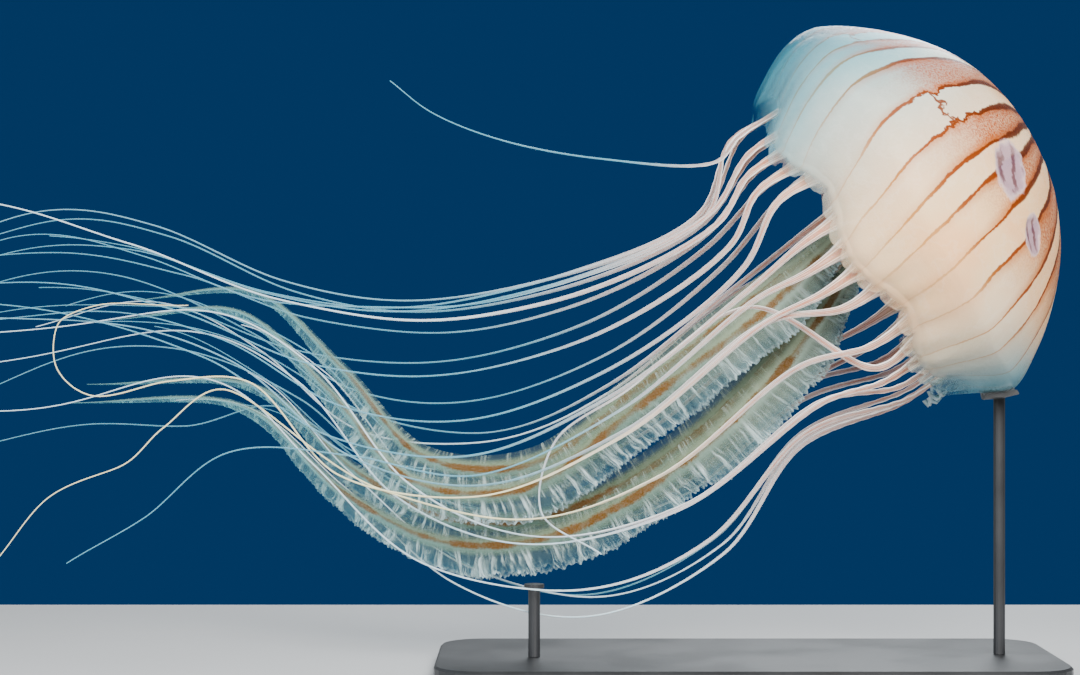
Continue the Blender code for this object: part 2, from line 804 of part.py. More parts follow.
def posed_wall(turn, height):
    """A point of the bell's outer wall at this turn and height."""
    heights, radii = zip(*sorted((h, r) for r, h in outer_profile()))
    radius = float(np.interp(height, heights, radii))
    return posed(radius * math.cos(turn), radius * math.sin(turn), height)


def over_wall(turn, height, proud):
    """A point that stands `proud` of the bell's outer wall."""
    here = posed_wall(turn, height)
    up = posed_wall(turn, height + 0.002) - posed_wall(turn, height - 0.002)
    round_it = posed_wall(turn + 0.02, height) - posed_wall(turn - 0.02, height)
    out = up.cross(round_it).normalized()
    middle = posed(0.0, 0.0, height)
    return here + out * (proud if out.dot(here - middle) > 0 else -proud)


def make_bell_rod(where, cutters_home):
    """A rod that ends in a curved cradle, shaped to the lowest side of the bell."""
    turns = [math.pi + turn for turn in np.linspace(-CRADLE_HALF_TURN, CRADLE_HALF_TURN, 5)]
    rows, wide = len(CRADLE_HEIGHTS), len(turns)
    points = []
    for proud in (CRADLE_GAP, CRADLE_GAP + CRADLE_THICKNESS):
        points += [over_wall(turn, height, proud) for height in CRADLE_HEIGHTS for turn in turns]
    under = rows * wide
    faces = []
    for row in range(rows - 1):
        for place in range(wide - 1):
            a = row * wide + place
            quad = (a, a + 1, a + wide + 1, a + wide)
            faces += [quad, tuple(under + corner for corner in quad)]
    edge = list(range(wide)) + [row * wide + wide - 1 for row in range(1, rows)]
    edge += [(rows - 1) * wide + place for place in range(wide - 2, -1, -1)]
    edge += [row * wide for row in range(rows - 2, 0, -1)]
    for here, there in zip(edge, edge[1:] + edge[:1]):
        faces.append((here, there, under + there, under + here))
    cradle = mesh_object("stand_cradle", points, faces, metal(), where)
    middle = over_wall(math.pi, CRADLE_HEIGHTS[1], CRADLE_GAP + CRADLE_THICKNESS / 2)
    made = rod("stand_rod_bell", middle.x, 0.0, BASE_SIZE[2] + GAP, middle.z - 0.001, where)
    home = bpy.data.collections.new("bell_rod_parts")
    cutters_home.children.link(home)
    return joined(made, [cradle], home)


def make_arm_rod(where, cutters_home, lane_of):
    """A short rod that ends in a disc, just below the hem of the lowest arm."""
    name = "front_lower"
    arm = bpy.data.objects[f"oral_arm_{name}_middle"]
    lowest = min((v.co for v in arm.data.vertices), key=lambda co: co.z)
    top = lowest.z - 2 * GAP
    radius, thick = ARM_REST
    y = lane_of[name] + float(drift(lowest.x))
    bpy.ops.mesh.primitive_cylinder_add(
        vertices=16, radius=radius, depth=thick, location=(lowest.x, y, top - thick / 2)
    )
    disc = bpy.context.object
    disc.data.materials.append(metal())
    move_to(disc, where)
    foot = BASE_SIZE[2] + GAP
    made = rod("stand_rod_arms", lowest.x, y, foot, top - thick / 2, where)
    home = bpy.data.collections.new("arm_rod_parts")
    cutters_home.children.link(home)
    return joined(made, [disc], home)


def main():
    for old in list(bpy.data.objects):
        bpy.data.objects.remove(old)
    where = collection("sea_nettle_jellyfish")
    cutters_home = collection("cutters")
    lane_of = lanes()
    make_bell(where)
    make_margin(where)
    make_manubrium(where)
    make_arms(where, lane_of)
    make_tentacles(where, cutters_home, lane_of)
    make_base(where)
    make_bell_rod(where, cutters_home)
    make_arm_rod(where, cutters_home, lane_of)


main()
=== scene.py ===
import functools
import math

import bmesh
import bpy
import numpy as np
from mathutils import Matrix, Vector


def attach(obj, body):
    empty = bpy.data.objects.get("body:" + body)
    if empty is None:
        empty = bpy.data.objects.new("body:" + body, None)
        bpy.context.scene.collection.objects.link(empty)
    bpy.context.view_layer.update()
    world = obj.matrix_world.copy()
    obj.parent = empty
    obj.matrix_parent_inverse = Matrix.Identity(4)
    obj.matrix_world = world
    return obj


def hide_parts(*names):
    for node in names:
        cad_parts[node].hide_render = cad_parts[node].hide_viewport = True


bl_info = {
    "name": "Sea nettle jellyfish",
    "version": (1, 0, 0),
    "blender": (4, 5, 0),
    "location": "3D View > Sidebar > Sea nettle",
    "description": "Dresses a life-size sea nettle on its display stand",
    "category": "Object",
}

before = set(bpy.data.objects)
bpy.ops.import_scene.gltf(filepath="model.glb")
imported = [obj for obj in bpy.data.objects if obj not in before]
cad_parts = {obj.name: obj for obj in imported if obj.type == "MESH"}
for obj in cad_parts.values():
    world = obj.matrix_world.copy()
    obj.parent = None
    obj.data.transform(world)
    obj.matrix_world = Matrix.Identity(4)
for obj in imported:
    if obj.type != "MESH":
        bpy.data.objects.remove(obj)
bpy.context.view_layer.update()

# The solids' own sizes, in metres: the bell in its straight frame, and its lean.
BELL_HEIGHT = 0.142
BELL_RADIUS = 0.1352
RIM_RADIUS = 0.1190
WIDEST_SHARE = 0.27
SHOULDER_POWER = 1.5
CROWN_POWER = 1.8
APEX_THICKNESS = 0.021
RIM_THICKNESS = 0.0038
OCTANTS = 8
LAPPETS = 40
LOBE_DEPTH = 0.0050
LOBE_SHARE = 0.45
RIM_CENTRE = (0.0765, 0.2880)
CROWN_HANDLE = (0.1490, 0.3480)
APEX = (0.2045, 0.3250)
RIM_LEAN = math.radians(34)
APEX_LEAN = math.radians(15)
TURN_TO_FRONT = math.radians(9)
TOP_SWELLS = ((0.0085, 0.022, 0.024), (-0.0080, 0.085, 0.035))
BOTTOM_SWELLS = ((0.0055, 0.032, 0.028),)
LAPPET_LENGTH = 0.0150
LAPPET_NOTCH = 0.42
LAPPET_TURN = math.radians(52)
MANUBRIUM_TOP = 0.033
MANUBRIUM_MOUTH = 0.019
MOUTH_HEIGHT = 0.040

# The oral arms.
ARM_ROOT = 0.0105
ARM_LANE = 0.0150
ARM_CURTAIN = 0.0300
ARM_CREST = 0.0110
ARM_BODY = 0.0105
ARM_TIP = 0.0016
UPPER_ARM = (
    (0.012, 0.246), (-0.072, 0.182), (-0.150, 0.126), (-0.226, 0.130),
    (-0.283, 0.190), (-0.345, 0.243), (-0.430, 0.238),
)
LOWER_ARM = (
    (0.024, 0.206), (-0.040, 0.144), (-0.126, 0.094), (-0.205, 0.087),
    (-0.275, 0.120), (-0.345, 0.178), (-0.470, 0.180),
)
ARM_ROUTES = {
    "front_upper": (UPPER_ARM, 0.000),
    "front_lower": (LOWER_ARM, 0.000),
    "back_upper": (UPPER_ARM, 0.014),
    "back_lower": (LOWER_ARM, 0.012),
}

# The tentacles.
TENTACLES = 32
PER_OCTANT = TENTACLES // OCTANTS
TENTACLE_PITCH = math.radians(9)
ROOT_RADIUS = 0.1045
ROOT_HEIGHT = 0.0035
LANE = 0.0034
ROOT_WIDTH = 0.0054
ROOT_THICKNESS = 0.0024
THREAD_WIDTH = 0.0019
TIP_WIDTH = 0.0011
WAVE = 0.009
WAVE_LENGTH = 0.31
LANE_REACHED = 0.27
TAIL_START = -0.30
TAIL_SPREAD = 0.40
DRIFT = 0.045
DRIFT_START = 0.02
DRIFT_LENGTH = 0.62
SWING = 0.010
LEAVING = 0.034
GUIDES = (
    (
        (-0.031, 0.311), (-0.120, 0.272), (-0.225, 0.253), (-0.330, 0.262),
        (-0.426, 0.294), (-0.510, 0.302), (-0.640, 0.262),
    ),
    (
        (-0.018, 0.288), (-0.100, 0.235), (-0.200, 0.211), (-0.300, 0.217),
        (-0.390, 0.257), (-0.480, 0.283), (-0.650, 0.250),
    ),
    (
        (-0.004, 0.251), (-0.090, 0.182), (-0.180, 0.143), (-0.265, 0.155),
        (-0.340, 0.215), (-0.430, 0.247), (-0.640, 0.225),
    ),
    (
        (0.044, 0.183), (-0.050, 0.112), (-0.150, 0.090), (-0.240, 0.117),
        (-0.310, 0.190), (-0.390, 0.225), (-0.610, 0.185),
    ),
    (
        (0.037, 0.150), (-0.010, 0.078), (-0.095, 0.038), (-0.190, 0.057),
        (-0.270, 0.123), (-0.345, 0.190), (-0.560, 0.175),
    ),
)
GUIDE_SHARES = ((0.0, 0.20, 0.35, 0.80, 1.0), (0.0, 0.08, 0.40, 0.76, 1.0))
# Tails that leave their guide after this many stations and go a way of their own.
LATE_STATION = 4
TAILS = {
    10: (
        (-0.331, 0.198), (-0.385, 0.201), (-0.437, 0.189), (-0.461, 0.206),
        (-0.462, 0.240), (-0.432, 0.255), (-0.372, 0.246),
    ),
    12: (
        (-0.352, 0.192), (-0.388, 0.162), (-0.412, 0.136), (-0.470, 0.117),
        (-0.520, 0.070),
    ),
    9: ((-0.345, 0.147), (-0.398, 0.104), (-0.450, 0.077)),
    22: ((-0.330, 0.180), (-0.400, 0.160), (-0.480, 0.152), (-0.590, 0.145)),
}
LONE = 3  # the one that drifts off above the others
LONE_ROUTE = (
    (-0.022, 0.343), (-0.099, 0.344), (-0.165, 0.356), (-0.212, 0.375), (-0.240, 0.397),
)
TURNING = 13  # the one that turns back under the arms
TURNING_ROUTE = (
    (-0.004, 0.245), (-0.085, 0.190), (-0.132, 0.158), (-0.141, 0.110), (-0.100, 0.084),
)
# Below 0.5 a thread is clear, above it milky, and above 0.85 yellowed.
THREAD_KINDS = {9: 0.3, 10: 0.95, 12: 0.95, TURNING: 0.6, 22: 0.2, LONE: 0.2}
CLEAR_OCTANTS = (0, 4)  # at the two thin lobes, the top one and the bottom one

# How the stripes lie on the bell. They meet a little to one side of the apex, and run two by
# two: each pair is the border of one dark wedge.
STRIPE_MEETING = (0.220, -0.235)
STRIPE_TURNS = (
    (20, 31), (40, 47), (56, 72), (84, 94),
    (101, 111), (120, 131), (139, 150), (162, 173),
    (184, 195), (206, 217), (228, 239), (250, 261),
    (272, 283), (294, 305), (316, 327), (338, 349),
)
STRIPES = 2 * len(STRIPE_TURNS)
BELL_ARC = 0.2234  # from the apex to the rim along the outside
# The bare oval places on the crown: turn, share of the way from apex to rim, tilt, and half sizes.
BARE_OVALS = ((86, 0.445, 16, 0.0190, 0.0160), (115, 0.452, 14, 0.0125, 0.0105))
# Where stripes are torn and jagged: turn, share of the way from apex to rim, and how far round it.
TORN_PLACES = ((63, 0.60, 0.036), (21, 0.745, 0.026), (205, 0.55, 0.026), (310, 0.62, 0.030))


# ---------------------------------------------------------------- settings


# What the settings of one kind have in common.
COLOUR = {"min": 0.0, "max": 1.0, "subtype": "COLOR"}
METRES = {"subtype": "DISTANCE", "unit": "LENGTH"}
WATTS = {"min": 0.0, "unit": "POWER"}


class BellSettings(bpy.types.PropertyGroup):
    skin_depth: bpy.props.FloatProperty(
        name="Skin depth",
        description="How far the skin lies inside the solid bell",
        default=0.0006, max=0.003, **METRES,
    )
    hollow: bpy.props.FloatProperty(
        name="Hollows",
        description="How deep the soft hollows between the bell's swellings are",
        default=0.0013, max=0.01, **METRES,
    )
    wart: bpy.props.FloatProperty(
        name="Warts",
        description="Height of the fine warts on the bell's outside",
        default=0.00018, max=0.002, **METRES,
    )
    curl: bpy.props.FloatProperty(
        name="Lappet curl",
        description="How much the lappets differ in the way that they curl",
        default=0.75, min=0.0, max=1.0, subtype="FACTOR",
    )
    milk: bpy.props.FloatVectorProperty(
        name="Milky jelly",
        description="Colour of the thick jelly",
        default=(0.90, 0.60, 0.32), **COLOUR,
    )
    blush: bpy.props.FloatVectorProperty(
        name="Blush",
        description="Warm colour in the middle of the bell",
        default=(0.92, 0.40, 0.15), **COLOUR,
    )
    # painted blue backdrop light on the thin clear jelly near the rim
    thin_jelly_backdrop_light: bpy.props.FloatVectorProperty(
        name="Thin jelly",
        description="Cool colour of the thin jelly near the rim",
        default=(0.05, 0.36, 0.48), **COLOUR,
    )
    stripe_dark: bpy.props.FloatVectorProperty(
        name="Stripe, dark",
        description="Colour of the stripes near their meeting",
        default=(0.075, 0.010, 0.0004), **COLOUR,
    )
    stripe_bright: bpy.props.FloatVectorProperty(
        name="Stripe, bright",
        description="Colour of the stripes half way down",
        default=(0.24, 0.038, 0.0004), **COLOUR,
    )
    stripe_faint: bpy.props.FloatVectorProperty(
        name="Stripe, faint",
        description="Colour of the stripes near the rim",
        default=(0.46, 0.17, 0.010), **COLOUR,
    )
    wedge: bpy.props.FloatVectorProperty(
        name="Wedges",
        description="Colour of the granules between two stripes",
        default=(0.34, 0.058, 0.008), **COLOUR,
    )
    oval: bpy.props.FloatVectorProperty(
        name="Bare ovals",
        description="Colour of the two bare ovals",
        default=(0.40, 0.27, 0.33), **COLOUR,
    )


class ArmSettings(bpy.types.PropertyGroup):
    fold: bpy.props.FloatProperty(
        name="Folds",
        description="How far a curtain's slow folds swing at its hem",
        default=0.0042, max=0.01, **METRES,
    )
    fold_length: bpy.props.FloatProperty(
        name="Fold length",
        description="Length of one slow fold",
        default=0.034, min=0.005, **METRES,
    )
    pleat: bpy.props.FloatProperty(
        name="Pleats",
        description="How far the fine pleats swing at the hem",
        default=0.0017, max=0.01, **METRES,
    )
    pleat_length: bpy.props.FloatProperty(
        name="Pleat length",
        description="Length of one fine pleat",
        default=0.0066, min=0.002, **METRES,
    )
    frill: bpy.props.FloatProperty(
        name="Frill",
        description="How far the finest frill swings along the hem",
        default=0.0009, max=0.01, **METRES,
    )
    ragged: bpy.props.FloatProperty(
        name="Ragged hem",
        description="How much the depth of the curtain varies along its hem",
        default=0.36, min=0.0, max=0.6, subtype="FACTOR",
    )
    spread: bpy.props.FloatProperty(
        name="Spread",
        description="How far the two curtains of an arm stand apart at the hem",
        default=0.0030, max=0.01, **METRES,
    )
    hem: bpy.props.FloatProperty(
        name="Hem thickness",
        description="Thickness of a curtain at its hem",
        default=0.0006, min=0.0002, max=0.003, **METRES,
    )
    rib: bpy.props.FloatVectorProperty(
        name="Midrib",
        description="Colour of the arm's thick midrib",
        default=(0.120, 0.052, 0.0020), **COLOUR,
    )
    curtain: bpy.props.FloatVectorProperty(
        name="Curtain",
        description="Colour of the curtain near the rib",
        default=(0.11, 0.19, 0.15), **COLOUR,
    )
    pale_hem: bpy.props.FloatVectorProperty(
        name="Hem",
        description="Colour of the pleated hem",
        default=(0.66, 0.82, 0.84), **COLOUR,
    )
    tail: bpy.props.FloatVectorProperty(
        name="Tail",
        description="Colour towards the arm's thin end",
        default=(0.12, 0.34, 0.36), **COLOUR,
    )


class TentacleSettings(bpy.types.PropertyGroup):
    web: bpy.props.FloatProperty(
        name="Web",
        description="How much wider than its ribbon a tentacle is where it leaves the bell",
        default=0.0070, max=0.015, **METRES,
    )
    web_length: bpy.props.FloatProperty(
        name="Web length",
        description="Over what length the wide root narrows to the ribbon",
        default=0.030, min=0.005, max=0.1, **METRES,
    )
    crimp: bpy.props.FloatProperty(
        name="Crimps",
        description="How far the ribbon's edges swing in their fine crimps",
        default=0.00035, max=0.003, **METRES,
    )
    crimp_length: bpy.props.FloatProperty(
        name="Crimp length",
        description="Length of one crimp",
        default=0.011, min=0.002, **METRES,
    )
    slim: bpy.props.FloatProperty(
        name="Slimming",
        description="How much slimmer than its solid a thread is",
        default=0.34, min=0.0, max=0.6, subtype="FACTOR",
    )
    twist: bpy.props.FloatProperty(
        name="Twists",
        description="Turns that a ribbon may make from its root to its tip",
        default=2.2, min=0.0, max=10.0,
    )
    root: bpy.props.FloatVectorProperty(
        name="Root",
        description="Colour where the tentacle leaves the bell",
        default=(0.86, 0.42, 0.25), **COLOUR,
    )
    ribbon: bpy.props.FloatVectorProperty(
        name="Ribbon",
        description="Colour of the broad upper length",
        default=(0.53, 0.42, 0.40), **COLOUR,
    )
    clear_thread: bpy.props.FloatVectorProperty(
        name="Clear thread",
        description="Colour of the thin lower length of most tentacles",
        default=(0.10, 0.36, 0.48), **COLOUR,
    )
    milky_thread: bpy.props.FloatVectorProperty(
        name="Milky thread",
        description="Colour of the thin lower length of the others",
        default=(0.55, 0.72, 0.80), **COLOUR,
    )
    old_thread: bpy.props.FloatVectorProperty(
        name="Old thread",
        description="Colour of a few yellowed tails",
        default=(0.80, 0.76, 0.46), **COLOUR,
    )
    middle_line: bpy.props.FloatVectorProperty(
        name="Middle line",
        description="Colour of the line along the ribbon",
        default=(0.42, 0.11, 0.04), **COLOUR,
    )


class StageSettings(bpy.types.PropertyGroup):
    paint: bpy.props.FloatVectorProperty(
        name="Stand paint",
        description="Colour of the stand's satin paint",
        default=(0.014, 0.015, 0.017), **COLOUR,
    )
    floor: bpy.props.FloatVectorProperty(
        name="Floor",
        description="Colour of the plain floor",
        default=(0.52, 0.53, 0.54), **COLOUR,
    )
    backdrop: bpy.props.FloatVectorProperty(
        name="Backdrop",
        description="Plain colour behind the model",
        default=(0.0012, 0.038, 0.130), **COLOUR,
    )
    key: bpy.props.FloatProperty(
        name="Key light",
        description="Power of the large soft light",
        default=64.0, **WATTS,
    )
    fill: bpy.props.FloatProperty(
        name="Fill light",
        description="Power of the light from the other side",
        default=22.0, **WATTS,
    )
    edge: bpy.props.FloatProperty(
        name="Edge light",
        description="Power of the light from behind",
        default=24.0, **WATTS,
    )


# ---------------------------------------------------------------- shapes shared with the solids


def eased(value):
    """0 to 1 with a soft start and end."""
    value = np.clip(value, 0.0, 1.0)
    return value * value * (3.0 - 2.0 * value)


def chance(number, kind):
    """A steady value between 0 and 1 for one tentacle and one kind of variation."""
    return math.modf(abs(math.sin(12.9898 * number + 78.233 * kind)) * 4375.8545)[0]


def bell_centre(height):
    """Centre and lean of the bell's rings at these heights of its straight frame."""
    up = np.maximum(height / BELL_HEIGHT, 0.0)
    lean = RIM_LEAN + (APEX_LEAN - RIM_LEAN) * up
    below = np.minimum(height, 0.0)
    weights = ((1 - up) ** 2, 2 * up * (1 - up), up**2)
    handles = (RIM_CENTRE, CROWN_HANDLE, APEX)
    x = sum(w * p[0] for w, p in zip(weights, handles)) + below * math.cos(RIM_LEAN)
    z = sum(w * p[1] for w, p in zip(weights, handles)) + below * math.sin(RIM_LEAN)
    return x, z, lean


def swell(x, y, height):
    """How far points of the straight bell move out, where the bell is fuller or flatter."""
    top = sum(far * np.exp(-(((height - at) / over) ** 2)) for far, at, over in TOP_SWELLS)
    bottom = sum(far * np.exp(-(((height - at) / over) ** 2)) for far, at, over in BOTTOM_SWELLS)
    reach = np.where(x > 0.0, top, bottom)
    return reach * x / BELL_RADIUS * x * x / np.maximum(x * x + y * y, 1e-12)


def posed(x, y, height):
    """Points of the straight bell, moved to where the swimming bell has them."""
    x, y, height = np.broadcast_arrays(*(np.asarray(v, float) for v in (x, y, height)))
    lobe = np.clip(1.0 - height / (BELL_HEIGHT * LOBE_SHARE), 0.0, 1.0)
    height = height - LOBE_DEPTH * np.cos(OCTANTS * np.arctan2(y, x)) * lobe**2
    x = x + swell(x, y, height)
    centre_x, centre_z, lean = bell_centre(height)
    side, level = math.sin(TURN_TO_FRONT), math.cos(TURN_TO_FRONT)
    return np.stack(
        [
            centre_x - np.sin(lean) * x - np.cos(lean) * side * y,
            -height * side - level * y,
            centre_z + np.cos(lean) * x - np.sin(lean) * side * y,
        ],
        -1,
    )


def outwards(lean):
    """The way out of the bell, at a ring of this lean."""
    side, level = math.sin(TURN_TO_FRONT), math.cos(TURN_TO_FRONT)
    return np.array([-math.cos(lean) * level, side, -math.sin(lean) * level])


def evenly(curve, count):
    """The same curve as `count` evenly spaced points."""
    runs = np.linalg.norm(np.diff(curve, axis=0), axis=1)
    run = np.concatenate([[0.0], np.cumsum(runs)])
    at = np.linspace(0.0, run[-1], count)
    return np.stack([np.interp(at, run, curve[:, axis]) for axis in range(curve.shape[1])], 1)


def smooth_through(stations, count):
    """A smooth curve through the stations, as `count` points evenly spaced along it."""
    given = np.array(stations, float)
    strides = np.linalg.norm(np.diff(given, axis=0), axis=1)
    knots = np.concatenate([[0.0], np.cumsum(np.sqrt(strides))])
    slopes = np.gradient(given, knots, axis=0)
    along = np.linspace(0.0, knots[-1], 2000)
    k = np.clip(np.searchsorted(knots, along, side="right") - 1, 0, len(given) - 2)
    width = (knots[k + 1] - knots[k])[:, None]
    s = (along - knots[k])[:, None] / width
    curve = (
        (2 * s**3 - 3 * s**2 + 1) * given[k]
        + (s**3 - 2 * s**2 + s) * width * slopes[k]
        + (3 * s**2 - 2 * s**3) * given[k + 1]
        + (s**3 - s**2) * width * slopes[k + 1]
    )
    return evenly(curve, count)


def length_of(route):
    """How long the route is."""
    return float(np.linalg.norm(np.diff(route, axis=0), axis=1).sum())


def frames_along(route):
    """Unit vectors along the route, across it in the upright plane, and across it sideways."""
    ahead = np.gradient(route, axis=0)
    ahead /= np.linalg.norm(ahead, axis=1)[:, None]
    upright = np.cross(np.array([0.0, 1.0, 0.0]), ahead)
    upright /= np.linalg.norm(upright, axis=1)[:, None]
    return ahead, upright, np.cross(ahead, upright)


def with_y(flat, y):
    """The (X, Z) curve as one in space, at this Y or these."""
    return np.stack([flat[:, 0], np.broadcast_to(y, len(flat)), flat[:, 1]], 1)


def root_turn(number):
    """How far round the rim a tentacle grows: 0 is the top, a quarter turn is the side at -Y."""
    octant, place = divmod(number, PER_OCTANT)
    return 2 * math.pi * octant / OCTANTS + TENTACLE_PITCH * (place - (PER_OCTANT - 1) / 2)


def lanes():
    """The Y of each tentacle and of each arm where they all run together."""
    order = sorted(range(TENTACLES), key=lambda n: (-round(math.sin(root_turn(n)), 6), n))
    outside = (TENTACLES - 2 * 3) // 2
    tenants = order[:outside]
    for place, arm in enumerate(("front_upper", "front_lower", "back_upper", "back_lower")):
        tenants += [arm]
        if place < 3:
            tenants += order[outside + 2 * place : outside + 2 * place + 2]
    tenants += order[TENTACLES - outside :]
    widths = [ARM_LANE if isinstance(tenant, str) else LANE for tenant in tenants]
    across, found = -sum(widths) / 2, {}
    for tenant, width in zip(tenants, widths):
        found[tenant] = across + width / 2
        across += width
    return found


def drift(x):
    """How far the whole bunch has moved across at this X."""
    run = np.clip((DRIFT_START - x) / DRIFT_LENGTH, 0.0, 1.0)
    return DRIFT * eased(run) - SWING * np.sin(2 * math.pi * run) * eased(run / 0.3)


def arm_route(name, lane):
    """The midrib of one arm, from the mouth to its tip."""
    stations, drop = ARM_ROUTES[name]
    up = ARM_ROOT if "upper" in name else -ARM_ROOT
    side = ARM_ROOT if "front" in name else -ARM_ROOT
    root = posed(up, side, MOUTH_HEIGHT - 0.0009)
    ahead = outwards(float(bell_centre(MOUTH_HEIGHT)[2]))
    starts = [root, root + 0.012 * ahead, root + 0.040 * ahead]
    line = [(p[0], p[2]) for p in starts] + [(x + drop * 0.4, z + drop) for x, z in stations]
    flat = smooth_through(line, 1200)
    way = np.linspace(0.0, 1.0, len(flat))
    y = root[1] + (lane - root[1]) * eased((way - 0.02) / 0.14) + drift(flat[:, 0])
    return with_y(flat, y)


def guide_stations(depth):
    """The guides mixed at a depth between 0, the top of the rim, and 1, its bottom."""
    at = min(max(depth, 0.0), 1.0) * (len(GUIDES) - 1)
    k = min(int(at), len(GUIDES) - 2)
    low, high = np.array(GUIDES[k]), np.array(GUIDES[k + 1])
    return low + (high - low) * (at - k)


def tentacle_route(number, lane):
    """One tentacle's middle line, from inside its pad to its tip."""
    turn = root_turn(number)
    root = posed(ROOT_RADIUS * math.cos(turn), ROOT_RADIUS * math.sin(turn), ROOT_HEIGHT)
    leaving = root + LEAVING * outwards(RIM_LEAN)
    if number == LONE:
        stations = np.array(LONE_ROUTE)
    elif number == TURNING:
        stations = np.array(TURNING_ROUTE)
    else:
        way_down = 1.0 - abs(1.0 - (turn % (2 * math.pi)) / math.pi)
        depth = np.interp(way_down, *GUIDE_SHARES) + 0.05 * (chance(number, 1) - 0.5)
        stations = guide_stations(depth)
        shift = np.linspace(0.2, 1.0, len(stations)) ** 1.5
        stations[:, 1] += 0.070 * (chance(number, 2) - 0.5) * shift
        stations[:, 0] += 0.060 * (chance(number, 3) - 0.5) * shift
        if number in TAILS:
            stations = np.concatenate([stations[:LATE_STATION], np.array(TAILS[number])])
    line = [(root[0], root[2]), (leaving[0], leaving[2])] + [tuple(p) for p in stations]
    flat = smooth_through(line, 400)
    if number not in TAILS and number not in (LONE, TURNING):
        kept = 1.0 - 0.30 * chance(number, 4) ** 2
        flat = evenly(flat[: int(len(flat) * kept)], 400)
    run = np.linspace(0.0, length_of(flat), len(flat))
    across = frames_along(with_y(flat, 0.0))[1]
    wave = np.sin(2 * math.pi * (run / (WAVE_LENGTH * (0.8 + 0.5 * chance(number, 5)))))
    reach = WAVE * (0.2 if number == LONE else 1.0)
    swing = reach * (0.35 * eased((run - 0.20) / 0.15) + 0.65 * eased((run - 0.45) / 0.25))
    flat = flat + across[:, [0, 2]] * (wave * swing)[:, None]
    y = root[1] + (lane - root[1]) * eased(run / LANE_REACHED)
    y = y * (1.0 + TAIL_SPREAD * eased((TAIL_START - flat[:, 0]) / 0.25))
    return with_y(flat, y + drift(flat[:, 0]))


def ribbon_size(way):
    """Width and thickness of a tentacle at shares of its length."""
    width = THREAD_WIDTH + (ROOT_WIDTH - THREAD_WIDTH) * (1.0 - eased(way / 0.55))
    width = width + (TIP_WIDTH - THREAD_WIDTH) * eased((way - 0.55) / 0.45)
    thick = THREAD_WIDTH + (ROOT_THICKNESS - THREAD_WIDTH) * (1.0 - eased(way / 0.4))
    return width, np.minimum(thick, width)


# ---------------------------------------------------------------- mesh helpers

BELL_COLUMNS = (240, 480)
ARM_RINGS = (400, 1150)
TENTACLE_STEP = (0.0035, 0.0015)
WAVES, WAVES_REACH = 5, 3.2  # how many waves a ripple has, and how high they come together
GOLDEN_ANGLE = 2.399963


def fineness(quick_and_full):
    """The value for this run, of the two."""
    return quick_and_full[1]


def ripple(x, y, z=0.0, seed=0.0):
    """Smooth wandering values between -1 and 1, from a few crossing waves."""
    total = 0.0
    for k in range(WAVES):
        a = GOLDEN_ANGLE * (k + 1) + seed
        b = 1.7 + 0.61 * k
        across = x * math.cos(a) + y * math.sin(a) + z * math.cos(2.3 * a + 1.0)
        total = total + np.sin(b * across + 3.1 * a)
    return total / WAVES_REACH


def piece(name, points, faces, vectors):
    """A mesh object with smooth faces and named vector attributes."""
    mesh = bpy.data.meshes.new(name)
    mesh.from_pydata(np.asarray(points).tolist(), [], faces)
    turned = bmesh.new()
    turned.from_mesh(mesh)
    bmesh.ops.recalc_face_normals(turned, faces=turned.faces)
    turned.to_mesh(mesh)
    turned.free()
    mesh.shade_smooth()
    for key, values in vectors.items():
        layer = mesh.attributes.new(key, "FLOAT_VECTOR", "POINT")
        layer.data.foreach_set("vector", np.asarray(values, np.float32).ravel())
    mesh.update()
    made = bpy.data.objects.new(name, mesh)
    bpy.context.scene.collection.objects.link(made)
    return made


def grid_faces(rows, columns, first=0):
    """Quads between rows of points, each row a ring."""
    faces = []
    for row in range(rows - 1):
        low, high = first + row * columns, first + (row + 1) * columns
        for column in range(columns):
            following = (column + 1) % columns
            faces.append((low + column, low + following, high + following, high + column))
    return faces


def end_caps(rows, columns, first=0):
    """One face over the first ring, and one over the last."""
    last = first + (rows - 1) * columns
    return [tuple(range(first, first + columns))[::-1], tuple(range(last, last + columns))]


def swept(route_points, section_points, first):
    """Points and faces of one closed sweep: rings of section points, and a cap at each end.

    section_points has one ring of (upright, sideways) for each point of the route."""
    _, upright, sideways = frames_along(route_points)
    rows, columns = section_points.shape[:2]
    points = (
        route_points[:, None, :]
        + upright[:, None, :] * section_points[:, :, 0:1]
        + sideways[:, None, :] * section_points[:, :, 1:2]
    ).reshape(-1, 3)
    return points, grid_faces(rows, columns, first) + end_caps(rows, columns, first)


# ---------------------------------------------------------------- material helpers


